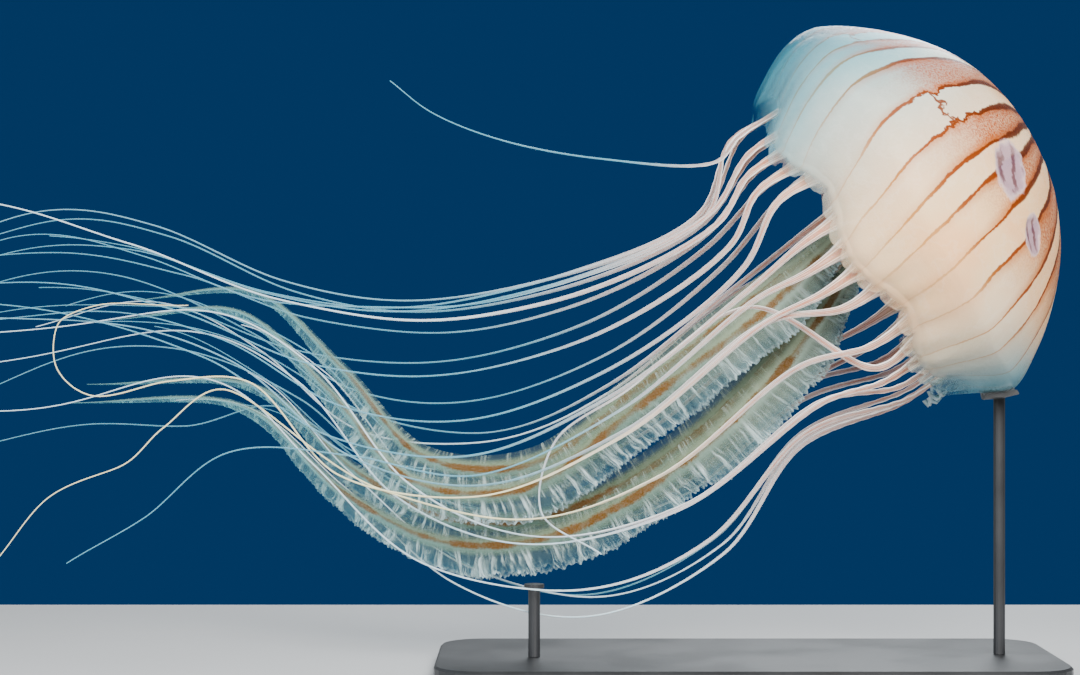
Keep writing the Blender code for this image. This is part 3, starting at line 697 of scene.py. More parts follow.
class Tree:
    """Adds nodes to a node tree and links them up. Each method gives back the socket, or the
    sockets, that carry its result, and takes sockets and plain values alike."""

    def __init__(self, nodes_of):
        self.tree = nodes_of

    def feed(self, socket, value):
        if isinstance(value, bpy.types.NodeSocket):
            self.tree.links.new(value, socket)
        else:
            socket.default_value = value

    def node(self, kind, **settings):
        made = self.tree.nodes.new(kind)
        for key, value in settings.items():
            setattr(made, key, value)
        return made

    def math(self, operation, *values, clamp=False):
        """One Math node on these values."""
        made = self.node("ShaderNodeMath", operation=operation, use_clamp=clamp)
        for socket, value in zip(made.inputs, values):
            self.feed(socket, value)
        return made.outputs[0]

    def times(self, *values):
        return functools.reduce(lambda made, value: self.math("MULTIPLY", made, value), values)

    def plus(self, *values):
        return functools.reduce(lambda made, value: self.math("ADD", made, value), values)

    def rest(self, value):
        """What is left of 1."""
        return self.math("SUBTRACT", 1.0, value)

    def between(self, value, low, high, start=0.0, end=1.0, soft=True):
        """The value's place between low and high, as a number from start to end."""
        way = "SMOOTHSTEP" if soft else "LINEAR"
        made = self.node("ShaderNodeMapRange", interpolation_type=way)
        for socket, given in zip(made.inputs, (value, low, high, start, end)):
            self.feed(socket, given)
        return made.outputs[0]

    def mix(self, amount, first, second):
        """The first colour where the amount is 0, and the second where it is 1."""
        made = self.node("ShaderNodeMix", data_type="RGBA")
        self.feed(made.inputs[0], amount)
        for socket, value in ((made.inputs[6], first), (made.inputs[7], second)):
            is_socket = isinstance(value, bpy.types.NodeSocket)
            self.feed(socket, value if is_socket else (*value, 1.0))
        return made.outputs[2]

    def tint(self, skin, colour, *amounts):
        """The skin with a colour over it, as strong as the amounts multiplied."""
        return self.mix(self.times(*amounts), skin, colour)

    def noise(self, where, scale, detail=2.0, rough=0.5):
        """Soft noise around one half, with this many lumps to a metre."""
        made = self.node("ShaderNodeTexNoise")
        given = {"Vector": where, "Scale": scale, "Detail": detail, "Roughness": rough}
        for key, value in given.items():
            self.feed(made.inputs[key], value)
        return made.outputs["Fac"]

    def swing(self, where, scale, detail=2.0, rough=0.5):
        """Noise that swings to both sides of zero."""
        return self.math("SUBTRACT", self.noise(where, scale, detail, rough), 0.5)

    def split(self, vector):
        """The three numbers of a vector."""
        made = self.node("ShaderNodeSeparateXYZ")
        self.feed(made.inputs[0], vector)
        return made.outputs

    def parts(self, name):
        """The three numbers of a mesh attribute."""
        return self.split(self.node("ShaderNodeAttribute", attribute_name=name).outputs["Vector"])

    def place(self):
        """Where each point of the surface is, in metres."""
        return self.node("ShaderNodeTexCoord").outputs["Object"]

    def group(self, group, **values):
        """The outputs of a node group, its inputs named with _ for a space."""
        made = self.node("ShaderNodeGroup", node_tree=group)
        for key, value in values.items():
            self.feed(made.inputs[key.replace("_", " ")], value)
        return made.outputs

    def bump(self, height, strength, distance):
        made = self.node("ShaderNodeBump")
        made.inputs["Strength"].default_value = strength
        made.inputs["Distance"].default_value = distance
        self.feed(made.inputs["Height"], height)
        return made.outputs[0]


def material(name):
    """A new material with a Principled shader, and its tree and shader."""
    made = bpy.data.materials.new(name)
    made.use_nodes = True
    return made, Tree(made.node_tree), made.node_tree.nodes["Principled BSDF"]


# ---------------------------------------------------------------- materials

# What every jelly has, whatever its colour: little gloss, and red light that goes deepest.
JELLY_SURFACE = {
    "IOR": 1.36,
    "Subsurface Radius": (1.0, 0.6, 0.4),
    "Subsurface Scale": 0.002,
    "Specular IOR Level": 0.11,
    "Coat Weight": 0.03,
    "Coat Roughness": 0.18,
}

# How far the bell's stripes wander, in metres: slow sways, torn stretches and a rough edge.
STRIPE_SWAY, STRIPE_TEAR, STRIPE_EDGE = 0.0075, 0.030, 0.0016
STRIPE_HALF = (0.0027, 0.0010)  # half its width, near the meeting and near the rim
GLOW_WIDTH = (0.0022, 0.0080)  # how far its glow reaches, outside a wedge and inside
TORN_LINE = 0.715  # how far out a torn line crosses from stripe to stripe

# The fixed tints of the bell's skin.
# painted blue backdrop light, seen through the thin clear lobes
COOL_BACKDROP_LIGHT = (0.16, 0.56, 0.68)
PALE_PATCH = (0.93, 0.84, 0.68)
VEIN = (0.96, 0.93, 0.90)
# painted highlight for the bell's hem
HEM_HIGHLIGHT = (0.86, 0.93, 0.94)
# the stripes' colour under the painted blue backdrop light
OLIVE_STRIPE = (0.20, 0.19, 0.03)
GLOW_DARK, GLOW_BRIGHT = (0.26, 0.042, 0.002), (0.50, 0.12, 0.006)
OVAL_FOLD, OVAL_BORDER = (0.075, 0.020, 0.034), (0.80, 0.64, 0.62)
HOLLOW_JELLY, MUSCLE = (0.72, 0.58, 0.48), (0.55, 0.33, 0.22)

# The fixed tints of the arms: near the bell, and further down.
CURTAIN_NEAR_BELL = (0.25, 0.33, 0.27)
LOW_CURTAIN_NEAR_BELL, LOW_CURTAIN = (0.16, 0.26, 0.26), (0.05, 0.17, 0.20)
CREST_TINT = (0.17, 0.19, 0.07)
ARM_GRANULE = (0.92, 0.93, 0.88)

# The fixed tints of the tentacles.
WARM_ROOT = (0.88, 0.60, 0.38)
RIBBON_EDGE = (0.93, 0.90, 0.88)
ROOT_STREAK = (0.94, 0.84, 0.78)
TENTACLE_GRANULE = (0.98, 0.95, 0.92)
CLEAR_RIDGE = (0.10, 0.38, 0.46)


def jelly_grain():
    """A shader node group: fine granules and slow clouds, as all of the animal's jelly has."""
    found = bpy.data.node_groups.get("jelly_grain")
    if found:
        return found
    made = bpy.data.node_groups.new("jelly_grain", "ShaderNodeTree")
    for name, default in (("Granule size", 0.0012), ("Cloud size", 0.03)):
        socket = made.interface.new_socket(name, in_out="INPUT", socket_type="NodeSocketFloat")
        socket.default_value = default
    for name in ("Granules", "Clouds"):
        made.interface.new_socket(name, in_out="OUTPUT", socket_type="NodeSocketFloat")
    tree = Tree(made)
    given = tree.node("NodeGroupInput").outputs
    out = tree.node("NodeGroupOutput").inputs
    where = tree.place()
    fine = tree.noise(where, tree.math("DIVIDE", 1.0, given["Granule size"]), 3.0, 0.6)
    slow = tree.noise(where, tree.math("DIVIDE", 1.0, given["Cloud size"]), 3.0)
    tree.feed(out["Granules"], tree.between(fine, 0.36, 0.64))
    tree.feed(out["Clouds"], tree.between(slow, 0.32, 0.68))
    return made


def jelly_shader(tree, shader, skin, rough, normal, alpha, milky):
    """Feeds one jelly's colour and surface, with the light that jelly lets in."""
    surface = {"Base Color": skin, "Roughness": rough, "Normal": normal, "Alpha": alpha}
    for key, value in surface.items():
        tree.feed(shader.inputs[key], value)
    shader.inputs["Subsurface Weight"].default_value = milky
    for key, value in JELLY_SURFACE.items():
        shader.inputs[key].default_value = value


def stripe_masks(tree, where):
    """How much of a stripe's core, of its glow and of its wedge is at each place of the bell,
    and how far that place is from the stripes' meeting."""
    x, y, out = tree.parts("stripe")
    step, _, torn = tree.parts("jelly")

    sway = tree.times(tree.swing(where, 26.0), STRIPE_SWAY)
    tear = tree.times(tree.swing(where, 105.0, 3.0, 0.6), torn, STRIPE_TEAR)
    edge = tree.times(tree.swing(where, 420.0), STRIPE_EDGE)
    wander = tree.times(tree.plus(sway, tear, edge), tree.between(out, 0.04, 0.30))

    # whole numbers lie on the stripes, and `off` is the way to the nearest, in metres
    at = tree.times(tree.math("ARCTAN2", y, x), STRIPES / (2 * math.pi))
    at = tree.plus(at, tree.math("DIVIDE", wander, step))
    off = tree.times(tree.math("PINGPONG", at, 0.5), step)
    inside = tree.math("LESS_THAN", tree.math("FRACT", tree.times(at, 0.5)), 0.5)

    uneven = tree.between(tree.noise(where, 45.0), 0.3, 0.7, 0.60, 1.30)
    half = tree.between(out, 0.45, 0.95, *STRIPE_HALF, soft=False)
    half = tree.times(half, uneven, tree.between(out, 0.02, 0.22, 0.3, 1.0))
    reach = tree.plus(out, tree.times(tree.swing(where, 17.0), 0.20))
    core = tree.rest(tree.between(tree.math("DIVIDE", off, half), 0.5, 1.1))
    core = tree.times(core, tree.between(reach, 0.84, 1.02, 1.0, 0.20))
    width = tree.between(inside, 0.0, 1.0, *GLOW_WIDTH)
    glow = tree.rest(tree.between(tree.math("DIVIDE", off, width), 0.0, 1.0))
    glow = tree.times(glow, tree.between(reach, 0.66, 0.96, 1.0, 0.12))

    # a torn line across the plain strip between the torn stripes
    across = tree.plus(out, tree.plus(tree.times(tear, 3.2), tree.times(sway, 6.0)))
    across = tree.math("ABSOLUTE", tree.math("SUBTRACT", across, TORN_LINE))
    bridge = tree.rest(tree.between(across, 0.003, 0.009))
    bridge = tree.times(bridge, tree.rest(inside), tree.between(torn, 0.45, 0.55))
    core = tree.math("MAXIMUM", core, bridge)
    return core, glow, tree.times(inside, tree.between(reach, 0.60, 0.88, 1.0, 0.0)), out


def bare_oval(tree, where, oval):
    """The way across one bare oval, in its half widths, and how far out from its centre each
    place is: about 1 at its ragged border."""
    at, long_way, wide_way, long_half, wide_half = oval
    off = tree.node("ShaderNodeVectorMath", operation="SUBTRACT")
    tree.feed(off.inputs[0], where)
    off.inputs[1].default_value = at
    ways = []
    for way, size in ((long_way, long_half), (wide_way, wide_half)):
        dot = tree.node("ShaderNodeVectorMath", operation="DOT_PRODUCT")
        tree.feed(dot.inputs[0], off.outputs[0])
        dot.inputs[1].default_value = tuple(way / size)
        ways.append(dot.outputs["Value"])
    out = tree.plus(*(tree.math("POWER", way, 2.0) for way in ways))
    return ways[1], tree.plus(out, tree.times(tree.swing(where, 170.0, 3.0), 0.95))


def bell_material(given):
    """Milky jelly with paired stripes that meet near the apex, granular wedges between them,
    two bare ovals, and thin clear lobes at the rim."""
    made, tree, shader = material("bell_jelly")
    outside, backdrop_light, run = tree.parts("wall")
    _, thin, _ = tree.parts("jelly")
    where = tree.place()
    grain = tree.group(jelly_grain(), Granule_size=0.0013, Cloud_size=0.055)
    granules, clouds = grain["Granules"], grain["Clouds"]

    # warm in the middle and cool at the lobes, with pale patches and faint veins; the lobes are
    # really thin and clear, and their cool tint is painted blue light from the backdrop
    warm = tree.times(clouds, tree.between(run, 0.20, 0.95, 0.60, 0.45), tree.rest(backdrop_light))
    skin = tree.mix(warm, given.milk, given.blush)
    skin = tree.tint(skin, COOL_BACKDROP_LIGHT, backdrop_light, 0.95)
    pale = tree.between(tree.noise(where, 12.0, 3.0), 0.45, 0.75)
    skin = tree.tint(skin, PALE_PATCH, pale, 0.30)
    veins = tree.math("ABSOLUTE", tree.swing(where, 38.0, 4.0, 0.6))
    skin = tree.tint(skin, VEIN, tree.rest(tree.between(veins, 0.0, 0.035)), 0.07)
    # more of the painted blue backdrop light where the jelly is thin
    skin = tree.tint(skin, given.thin_jelly_backdrop_light, thin, backdrop_light, 0.95)
    patches = tree.between(tree.noise(where, 30.0), 0.53, 0.62)
    skin = tree.tint(skin, given.stripe_bright, tree.between(run, 1.01, 1.05), patches, 0.65)

    # a painted highlight along the hem, most on the flange at the bottom, standing in for light
    # caught at the clear jelly's edge
    low = tree.between(tree.split(where)[2], 0.25, 0.29, 1.0, 0.1)
    hem = tree.times(tree.between(thin, 0.60, 0.88, 0.20, 0.75), low)
    hem = tree.times(tree.between(run, 1.054, 1.068), hem)
    skin = tree.mix(hem, skin, HEM_HIGHLIGHT)

    # the stripes: dark near their meeting, brighter further out, olive under the painted blue
    # backdrop light of the lobes
    core, glow, wedge, out = stripe_masks(tree, where)
    speckle = tree.plus(tree.times(granules, 0.50), 0.48)
    skin = tree.tint(skin, given.wedge, wedge, outside, speckle)
    bright = tree.mix(tree.between(out, 0.80, 0.95), given.stripe_bright, given.stripe_faint)
    line = tree.mix(tree.between(out, 0.50, 0.92), given.stripe_dark, bright)
    olive = tree.between(backdrop_light, 0.42, 0.92, 0.0, 0.9)
    line = tree.tint(line, OLIVE_STRIPE, olive, tree.between(out, 0.68, 0.84))
    shade = tree.mix(tree.between(out, 0.45, 0.85), GLOW_DARK, GLOW_BRIGHT)
    shown = tree.times(tree.rest(tree.times(thin, 0.55)), outside)
    skin = tree.tint(skin, shade, glow, shown, 0.82)
    skin = tree.tint(skin, line, core, shown, 0.95)

    # the bare ovals, each with a soft border and dark folds along it
    for oval in oval_places():
        way, border = bare_oval(tree, where, oval)
        bend = tree.times(tree.noise(where, 85.0, 4.0, 0.6), 7.0)
        folds = tree.between(tree.math("SINE", tree.plus(tree.times(way, 7.5), bend)), 0.0, 0.9)
        folds = tree.times(folds, tree.between(border, 0.3, 0.9, 1.0, 0.2))
        bare = tree.tint(given.oval, OVAL_FOLD, folds, 0.85)
        bare = tree.tint(bare, OVAL_BORDER, tree.between(border, 0.6, 1.05), 0.55)
        here = tree.rest(tree.between(border, 0.86, 1.22))
        skin = tree.tint(skin, bare, here, outside, 0.92)

    # the hollow's side: faint muscle bands
    bands = tree.between(tree.math("SINE", tree.times(run, 240.0)), -0.6, 1.0)
    bands = tree.times(bands, clouds)
    hollow = tree.tint(HOLLOW_JELLY, MUSCLE, bands, 0.35)
    # painted blue backdrop light on the hollow's thin side
    hollow = tree.tint(hollow, given.thin_jelly_backdrop_light, thin, 0.9)
    skin = tree.mix(tree.rest(outside), skin, hollow)

    height = tree.plus(tree.times(granules, 0.4), tree.times(bands, 0.3))
    rough = tree.between(granules, 0.0, 1.0, 0.26, 0.40, soft=False)
    edge = tree.between(run, 0.94, 1.04, 0.0, 0.38)
    clear = tree.math("ADD", tree.times(thin, 0.64), edge, clamp=True)
    # the painted hem highlight is also kept opaque
    alpha = tree.math("MAXIMUM", tree.rest(clear), tree.times(hem, 0.8))
    jelly_shader(tree, shader, skin, rough, tree.bump(height, 0.35, 0.0004), alpha, 0.12)
    return made


def arm_material(given):
    """Clear curtains of fine pale strands with pleated hems, on an orange-brown midrib."""
    made, tree, shader = material("arm_jelly")
    along, across, pleat = tree.parts("arm")
    grain = tree.group(jelly_grain(), Granule_size=0.0010, Cloud_size=0.018)
    granules, clouds = grain["Granules"], grain["Clouds"]
    down = tree.math("ABSOLUTE", across)
    crest = tree.math("LESS_THAN", across, -0.001)
    leaving = tree.between(along, 0.10, 0.42)

    # strands run down the curtain, thin and thick ones together
    threads = tree.node("ShaderNodeCombineXYZ")
    leaning = tree.times(clouds, down, 3.0)
    tree.feed(threads.inputs[0], tree.plus(tree.times(along, 430.0), leaning))
    tree.feed(threads.inputs[1], tree.times(across, 0.9))
    fine = tree.noise(threads.outputs[0], 1.0, 3.0, 0.62)
    clump = tree.noise(threads.outputs[0], 0.16)
    strand = tree.plus(tree.times(pleat, 0.12), fine, tree.times(clump, 0.80))
    strand = tree.times(tree.between(strand, 0.92, 1.20), tree.between(down, 0.10, 0.40))
    strand = tree.times(strand, tree.between(along, 0.10, 0.42, 0.40, 1.0))

    # the curtain, its strands, its pale hem and its cooler tail
    near = tree.mix(leaving, CURTAIN_NEAR_BELL, given.curtain)
    far = tree.mix(leaving, LOW_CURTAIN_NEAR_BELL, LOW_CURTAIN)
    skin = tree.mix(tree.between(down, 0.30, 0.98), near, far)
    skin = tree.tint(skin, given.pale_hem, strand, 0.80)
    hem = tree.between(down, 0.78, 0.98)
    skin = tree.tint(skin, given.pale_hem, hem, 0.40)
    skin = tree.mix(tree.between(along, 0.50, 0.85), skin, given.tail)

    # the midrib, with an uneven edge, strongest in the middle lengths
    edge = tree.math("SUBTRACT", down, tree.times(clouds, 0.07))
    edge = tree.plus(edge, tree.times(granules, 0.03))
    skin = tree.tint(skin, CREST_TINT, crest, 0.42)
    strong = tree.between(along, 0.03, 0.16, 0.30, 1.0)
    strong = tree.times(strong, tree.between(along, 0.60, 0.85, 1.0, 0.15))
    strong = tree.times(strong, tree.between(clouds, 0.0, 0.7, 0.60, 1.0))
    skin = tree.tint(skin, given.rib, tree.rest(tree.between(edge, 0.02, 0.12)), strong)
    skin = tree.tint(skin, ARM_GRANULE, granules, 0.05)

    alpha = tree.between(down, 0.10, 0.34, 0.84, 0.10)
    alpha = tree.plus(alpha, tree.between(along, 0.05, 0.42, 0.40, 0.0), tree.times(strand, 0.46))
    alpha = tree.math("ADD", alpha, tree.times(hem, 0.18), clamp=True)
    alpha = tree.times(alpha, tree.between(along, 0.55, 0.90, 1.0, 0.60))
    rough = tree.between(granules, 0.0, 1.0, 0.28, 0.45, soft=False)
    jelly_shader(tree, shader, skin, rough, tree.bump(strand, 0.35, 0.0004), alpha, 0.10)
    return made


def tentacle_material(given):
    """Whitish ribbons with a brownish line, which thin to clear, milky or yellowed threads."""
    made, tree, shader = material("tentacle_jelly")
    along, across, kind = tree.parts("tentacle")
    grain = tree.group(jelly_grain(), Granule_size=0.0009, Cloud_size=0.020)
    granules, clouds = grain["Granules"], grain["Clouds"]
    side = tree.math("ABSOLUTE", across)

    # from the warm root over the ribbon with its bright edges to the thread
    thread = tree.mix(tree.between(kind, 0.48, 0.62), given.clear_thread, given.milky_thread)
    thread = tree.mix(tree.between(kind, 0.82, 0.88), thread, given.old_thread)
    skin = tree.mix(tree.between(along, 0.02, 0.14), given.root, given.ribbon)
    skin = tree.mix(tree.between(along, 0.005, 0.045), WARM_ROOT, skin)
    skin = tree.tint(skin, RIBBON_EDGE, tree.between(side, 0.40, 0.95), 0.75)
    skin = tree.mix(tree.between(along, 0.12, 0.42), skin, thread)

    # pale streaks near the root, and the brownish line along the middle
    streaks = tree.math("SINE", tree.plus(tree.times(side, 16.0), clouds))
    streaks = tree.between(streaks, 0.0, 0.9)
    root = tree.between(along, 0.10, 0.46, 1.0, 0.0)
    root = tree.times(root, tree.between(along, 0.0, 0.04, 0.5, 1.0))
    skin = tree.tint(skin, ROOT_STREAK, streaks, root, 0.5)
    line = tree.rest(tree.between(side, 0.08, 0.42))
    line = tree.times(line, tree.between(along, 0.08, 0.40, 0.85, 0.0))
    line = tree.times(line, tree.between(clouds, 0.0, 1.0, 0.45, 1.0))
    skin = tree.mix(line, skin, given.middle_line)
    skin = tree.tint(skin, TENTACLE_GRANULE, granules, 0.12)
    skin = tree.mix(tree.between(kind, -1.0, -0.6, 0.9, 0.0), skin, CLEAR_RIDGE)

    # clear threads, and a root that can be seen through between its streaks and edges
    clear = tree.times(tree.between(kind, 0.48, 0.62, 0.45, 0.15), tree.between(along, 0.14, 0.46))
    drawn = tree.math("MAXIMUM", tree.times(streaks, 0.75), tree.between(side, 0.70, 0.95))
    drawn = tree.math("MAXIMUM", drawn, line)
    ribbon = tree.times(tree.rest(drawn), tree.times(root, 0.74))
    alpha = tree.rest(tree.plus(clear, ribbon))
    alpha = tree.times(alpha, tree.between(kind, -1.0, -0.4, 0.16, 1.0))
    rough = tree.between(granules, 0.0, 1.0, 0.25, 0.42, soft=False)
    jelly_shader(tree, shader, skin, rough, tree.bump(granules, 0.3, 0.0002), alpha, 0.10)
    return made


def stand_material(given):
    """Satin paint on steel, with a faint orange-peel surface."""
    made, tree, shader = material("stand_satin_paint")
    where = tree.place()
    peel = tree.noise(where, 900.0)
    cloud = tree.noise(where, 18.0, 3.0)
    lighter = tuple(min(1.0, c * 1.5) for c in given.paint)
    skin = tree.mix(tree.between(cloud, 0.3, 0.7), given.paint, lighter)
    tree.feed(shader.inputs["Base Color"], skin)
    tree.feed(shader.inputs["Roughness"], tree.between(cloud, 0.3, 0.7, 0.34, 0.44))
    tree.feed(shader.inputs["Normal"], tree.bump(peel, 0.12, 0.0002))
    return made


def floor_material(given):
    """A plain matt floor."""
    made, tree, shader = material("floor_matt")
    cloud = tree.noise(tree.place(), 3.0, 3.0)
    darker = tuple(c * 0.96 for c in given.floor)
    skin = tree.mix(tree.between(cloud, 0.3, 0.7), given.floor, darker)
    tree.feed(shader.inputs["Base Color"], skin)
    shader.inputs["Roughness"].default_value = 0.75
    return made


# ---------------------------------------------------------------- the bell

OUTER_RINGS = 130
LAPPET_RINGS = 9
OUTLINE_POINTS = 400
LAPPET_WALL, LAPPET_ROOT_WALL = 0.0007, 0.0016  # a lappet's thickness, and more of it at its root
RUFFLE, FLANGE_RUFFLE, LOBE_CALM = 0.0011, 0.0016, 0.0009
LAPPET_HOLLOW = 0.0008  # how deep the skin dips between two lappets
WARTS = 900  # how close the warts stand, in turns of their ripple to a metre
OVAL_SINK = 0.0016  # how deep the bare ovals lie
MUSCLE_FOLD = 0.0006  # height of the hollow's fine folds
MANUBRIUM_FLARE = 0.004  # how much wider the manubrium is where it meets the hollow
LIP_RUFFLE = 0.0008
MOUTH_DEPTH = 0.010
STRIPE_REACH = 0.19  # metres from the stripes' meeting to the rim
TORN_RADIUS = 0.115  # the bell's radius where the torn places are


def facing(turn, middle, power, side=1.0):
    """1 where the bell faces its top lobe, or its bottom one where side is -1, and less the
    further round from it. The middle is given in degrees."""
    return np.maximum(side * np.cos(turn - math.radians(middle)), 0.0) ** power


def inward_of(line):
    """The unit way into the jelly at each (radius, height) of a line down the bell."""
    slope = np.gradient(line, axis=0)
    inward = np.stack([slope[:, 1], -slope[:, 0]], 1)
    return inward / np.linalg.norm(inward, axis=1)[:, None]


def outer_line(count, depth):
    """Evenly spaced (radius, height) down the bell's outside, from the apex to the rim."""
    widest = WIDEST_SHARE * BELL_HEIGHT
    turn = np.linspace(0.0, math.pi / 2, 600)
    radius = BELL_RADIUS * np.sin(turn) ** (2 / CROWN_POWER)
    rise = np.maximum(np.cos(turn), 0.0) ** (2 / SHOULDER_POWER)
    height = widest + (BELL_HEIGHT - widest) * rise
    down = np.linspace(1.0, 0.0, 200)[1:]
    tuck = (BELL_RADIUS - RIM_RADIUS) * (1 - down) ** 1.6
    line = np.stack([np.r_[radius, BELL_RADIUS - tuck], np.r_[height, widest * down]], 1)
    line = evenly(line, count)
    inward = inward_of(line)
    inward[0] = (0.0, -1.0)
    return line + inward * depth


def stripe_places(turn, run):
    """For each turn and share of the way to the rim: the way round from the stripes' meeting
    point, told so that each stripe is a whole step round, and how far from it. Then how many
    metres one such step is."""
    pull = np.clip(1.0 - run**2, 0.0, 1.0)
    x = run * np.cos(turn) - STRIPE_MEETING[0] * pull
    y = run * np.sin(turn) - STRIPE_MEETING[1] * pull
    seen = np.degrees(np.arctan2(y, x)) % 360.0
    turns = np.array(STRIPE_TURNS, float).ravel()
    steps = np.arange(STRIPES) * 360.0 / STRIPES
    turns = np.concatenate([turns - 360.0, turns, turns + 360.0])
    steps = np.concatenate([steps - 360.0, steps, steps + 360.0])
    way = np.radians(np.interp(seen, turns, steps))
    between = np.interp(seen, (turns[1:] + turns[:-1]) / 2, np.diff(turns))
    out = np.hypot(x, y)
    step = STRIPE_REACH * np.maximum(out, 0.02) * np.radians(between)
    return np.stack([np.cos(way), np.sin(way), out], -1), step


def near_oval(turn, run, oval):
    """How far out from an oval's centre each place is: 1 is its edge."""
    middle, down, tilt, long_half, wide_half = oval
    line = outer_line(100, 0.0)
    radius = float(np.interp(down, np.linspace(0.0, 1.0, len(line)), line[:, 0]))
    a = (turn - math.radians(middle)) * radius
    b = (run - down) * BELL_ARC
    lean = math.radians(tilt)
    along = a * math.cos(lean) + b * math.sin(lean)
    across = b * math.cos(lean) - a * math.sin(lean)
    return (along / long_half) ** 2 + (across / wide_half) ** 2


def oval_places():
    """The bare ovals: centre, the two ways along the skin, and the two half sizes."""
    line = outer_line(OUTLINE_POINTS, 0.0)
    for middle, down, tilt, long_half, wide_half in BARE_OVALS:
        at = int(down * (len(line) - 1))
        corners = []
        for turn_step, down_step in ((0, 0), (0.02, 0), (0, 4)):
            radius, height = line[at + down_step]
            angle = math.radians(middle) + turn_step
            corners.append(posed(radius * math.cos(angle), radius * math.sin(angle), height))
        centre = corners[0]
        round_way, down_way = (
            (corner - centre) / np.linalg.norm(corner - centre) for corner in corners[1:]
        )
        lean = math.radians(tilt)
        long_way = round_way * math.cos(lean) + down_way * math.sin(lean)
        wide_way = down_way * math.cos(lean) - round_way * math.sin(lean)
        yield tuple(centre), long_way, wide_way, long_half, wide_half


def jelly_places(turn, run, step):
    """The metres of one stripe's step, how thin and clear the jelly is, and how torn the
    stripes are."""
    top = facing(turn, 2, 3) * eased((run - 0.54) / 0.34)
    bottom = facing(turn, 2, 4, -1.0) * eased((run - 0.60) / 0.26)
    hem = 0.60 * eased((run - 0.96) / 0.09)
    thin = np.maximum(np.maximum(top, 0.9 * bottom), hem * np.ones_like(turn))
    torn = np.zeros_like(turn)
    for middle, down, reach in TORN_PLACES:
        away = np.hypot((turn - math.radians(middle)) * TORN_RADIUS, (run - down) * BELL_ARC)
        torn = np.maximum(torn, 1.0 - eased(away / reach))
    return np.stack([step * np.ones_like(turn), thin, torn], -1)


def backdrop_light_share(turn, run):
    """How much painted blue backdrop light the thin jelly shows, more towards its top lobe."""
    top = facing(turn, 10, 1.6) * eased((run - 0.28) / 0.45)
    bottom = 0.95 * facing(turn, 0, 3, -1.0) * eased((run - 0.52) / 0.32)
    return np.maximum(top, bottom)


def lappet_rows(turn, given):
    """(radius, height, lean, share) of the lappets' rings, out along their outside and back
    along their inside. Each lappet has a length and a curl of its own. At the bottom they join
    in a wavy flange, and at the top they are long and calm."""
    rim = outer_line(OUTLINE_POINTS, given.skin_depth)[-1]
    lean = math.atan2(BELL_RADIUS - RIM_RADIUS, WIDEST_SHARE * BELL_HEIGHT) * 1.35
    tongue = np.abs(np.cos(turn * LAPPETS / 2)) ** 0.60
    own = (np.sin(7.0 * turn + 0.6) + np.sin(11.0 * turn + 2.0) + np.sin(17.0 * turn)) / 3
    flange = facing(turn, -6, 5, -1.0)
    lobe = facing(turn, -4, 6)
    full = 0.86 - 0.26 * (0.5 + 0.5 * np.sin(9.0 * turn + 1.0) * np.sin(5.0 * turn))
    full = full + 0.50 * flange + 0.60 * lobe
    length_now = LAPPET_LENGTH * (LAPPET_NOTCH + (1.0 - LAPPET_NOTCH) * tongue) * full
    bend = (0.45 - 0.55 * flange + 0.75 * lobe) * LAPPET_TURN
    bend = bend + given.curl * 0.75 * own * (1.0 - 0.5 * flange - 0.8 * lobe)
    bend = bend - 0.15 * (1.0 - tongue)
    outs = []
    for q in np.linspace(0.0, 1.0, LAPPET_RINGS):
        lean_now = lean + (bend - lean) * q
        run = length_now * q
        ruffle = (RUFFLE + FLANGE_RUFFLE * flange - LOBE_CALM * lobe) * q * q
        ruffle = ruffle * np.sin(3 * LAPPETS * turn + 4.0 * own)
        angle = (lean + lean_now) / 2
        radius = rim[0] - run * np.sin(angle) + ruffle
        outs.append((radius, rim[1] - run * np.cos(angle), lean_now, q))
    backs = []
    for radius, height, lean_now, q in outs[::-1]:
        wall = LAPPET_WALL + LAPPET_ROOT_WALL * (1.0 - q) ** 2
        radius, height = radius - wall * np.cos(lean_now), height + wall * np.sin(lean_now)
        backs.append((radius, height, lean_now, q))
    return outs[1:], backs[:-1]


def outer_rows(turn, given):
    """The rings of the bell's outside, from next to the apex to the rim."""
    outer = outer_line(OUTER_RINGS, given.skin_depth)
    inward = inward_of(outer)
    rows = []
    for k in range(1, len(outer)):
        radius, height = outer[k]
        down = k / (len(outer) - 1)
        x, y = np.cos(turn), np.sin(turn)
        soft = 0.5 + 0.5 * ripple(4.0 * x, 4.0 * y, 5.0 * down, 0.7)
        seam = 0.5 - 0.5 * np.cos(OCTANTS * turn)
        sink = given.hollow * (0.7 * soft * math.sin(math.pi * down) ** 0.5 + 0.6 * seam * down**3)
        dips = 0.5 - 0.5 * np.cos(LAPPETS * turn)
        sink = sink + LAPPET_HOLLOW * eased((down - 0.80) / 0.2) * dips
        wart = ripple(radius * x * WARTS, radius * y * WARTS, height * WARTS)
        sink = sink + given.wart * (0.5 + 0.5 * wart)
        for oval in BARE_OVALS:
            sink = sink + OVAL_SINK * (1.0 - eased((near_oval(turn, down, oval) - 0.35) / 0.75))
        rows.append((radius + inward[k][0] * sink, height + inward[k][1] * sink, 1.0, down))
    return rows


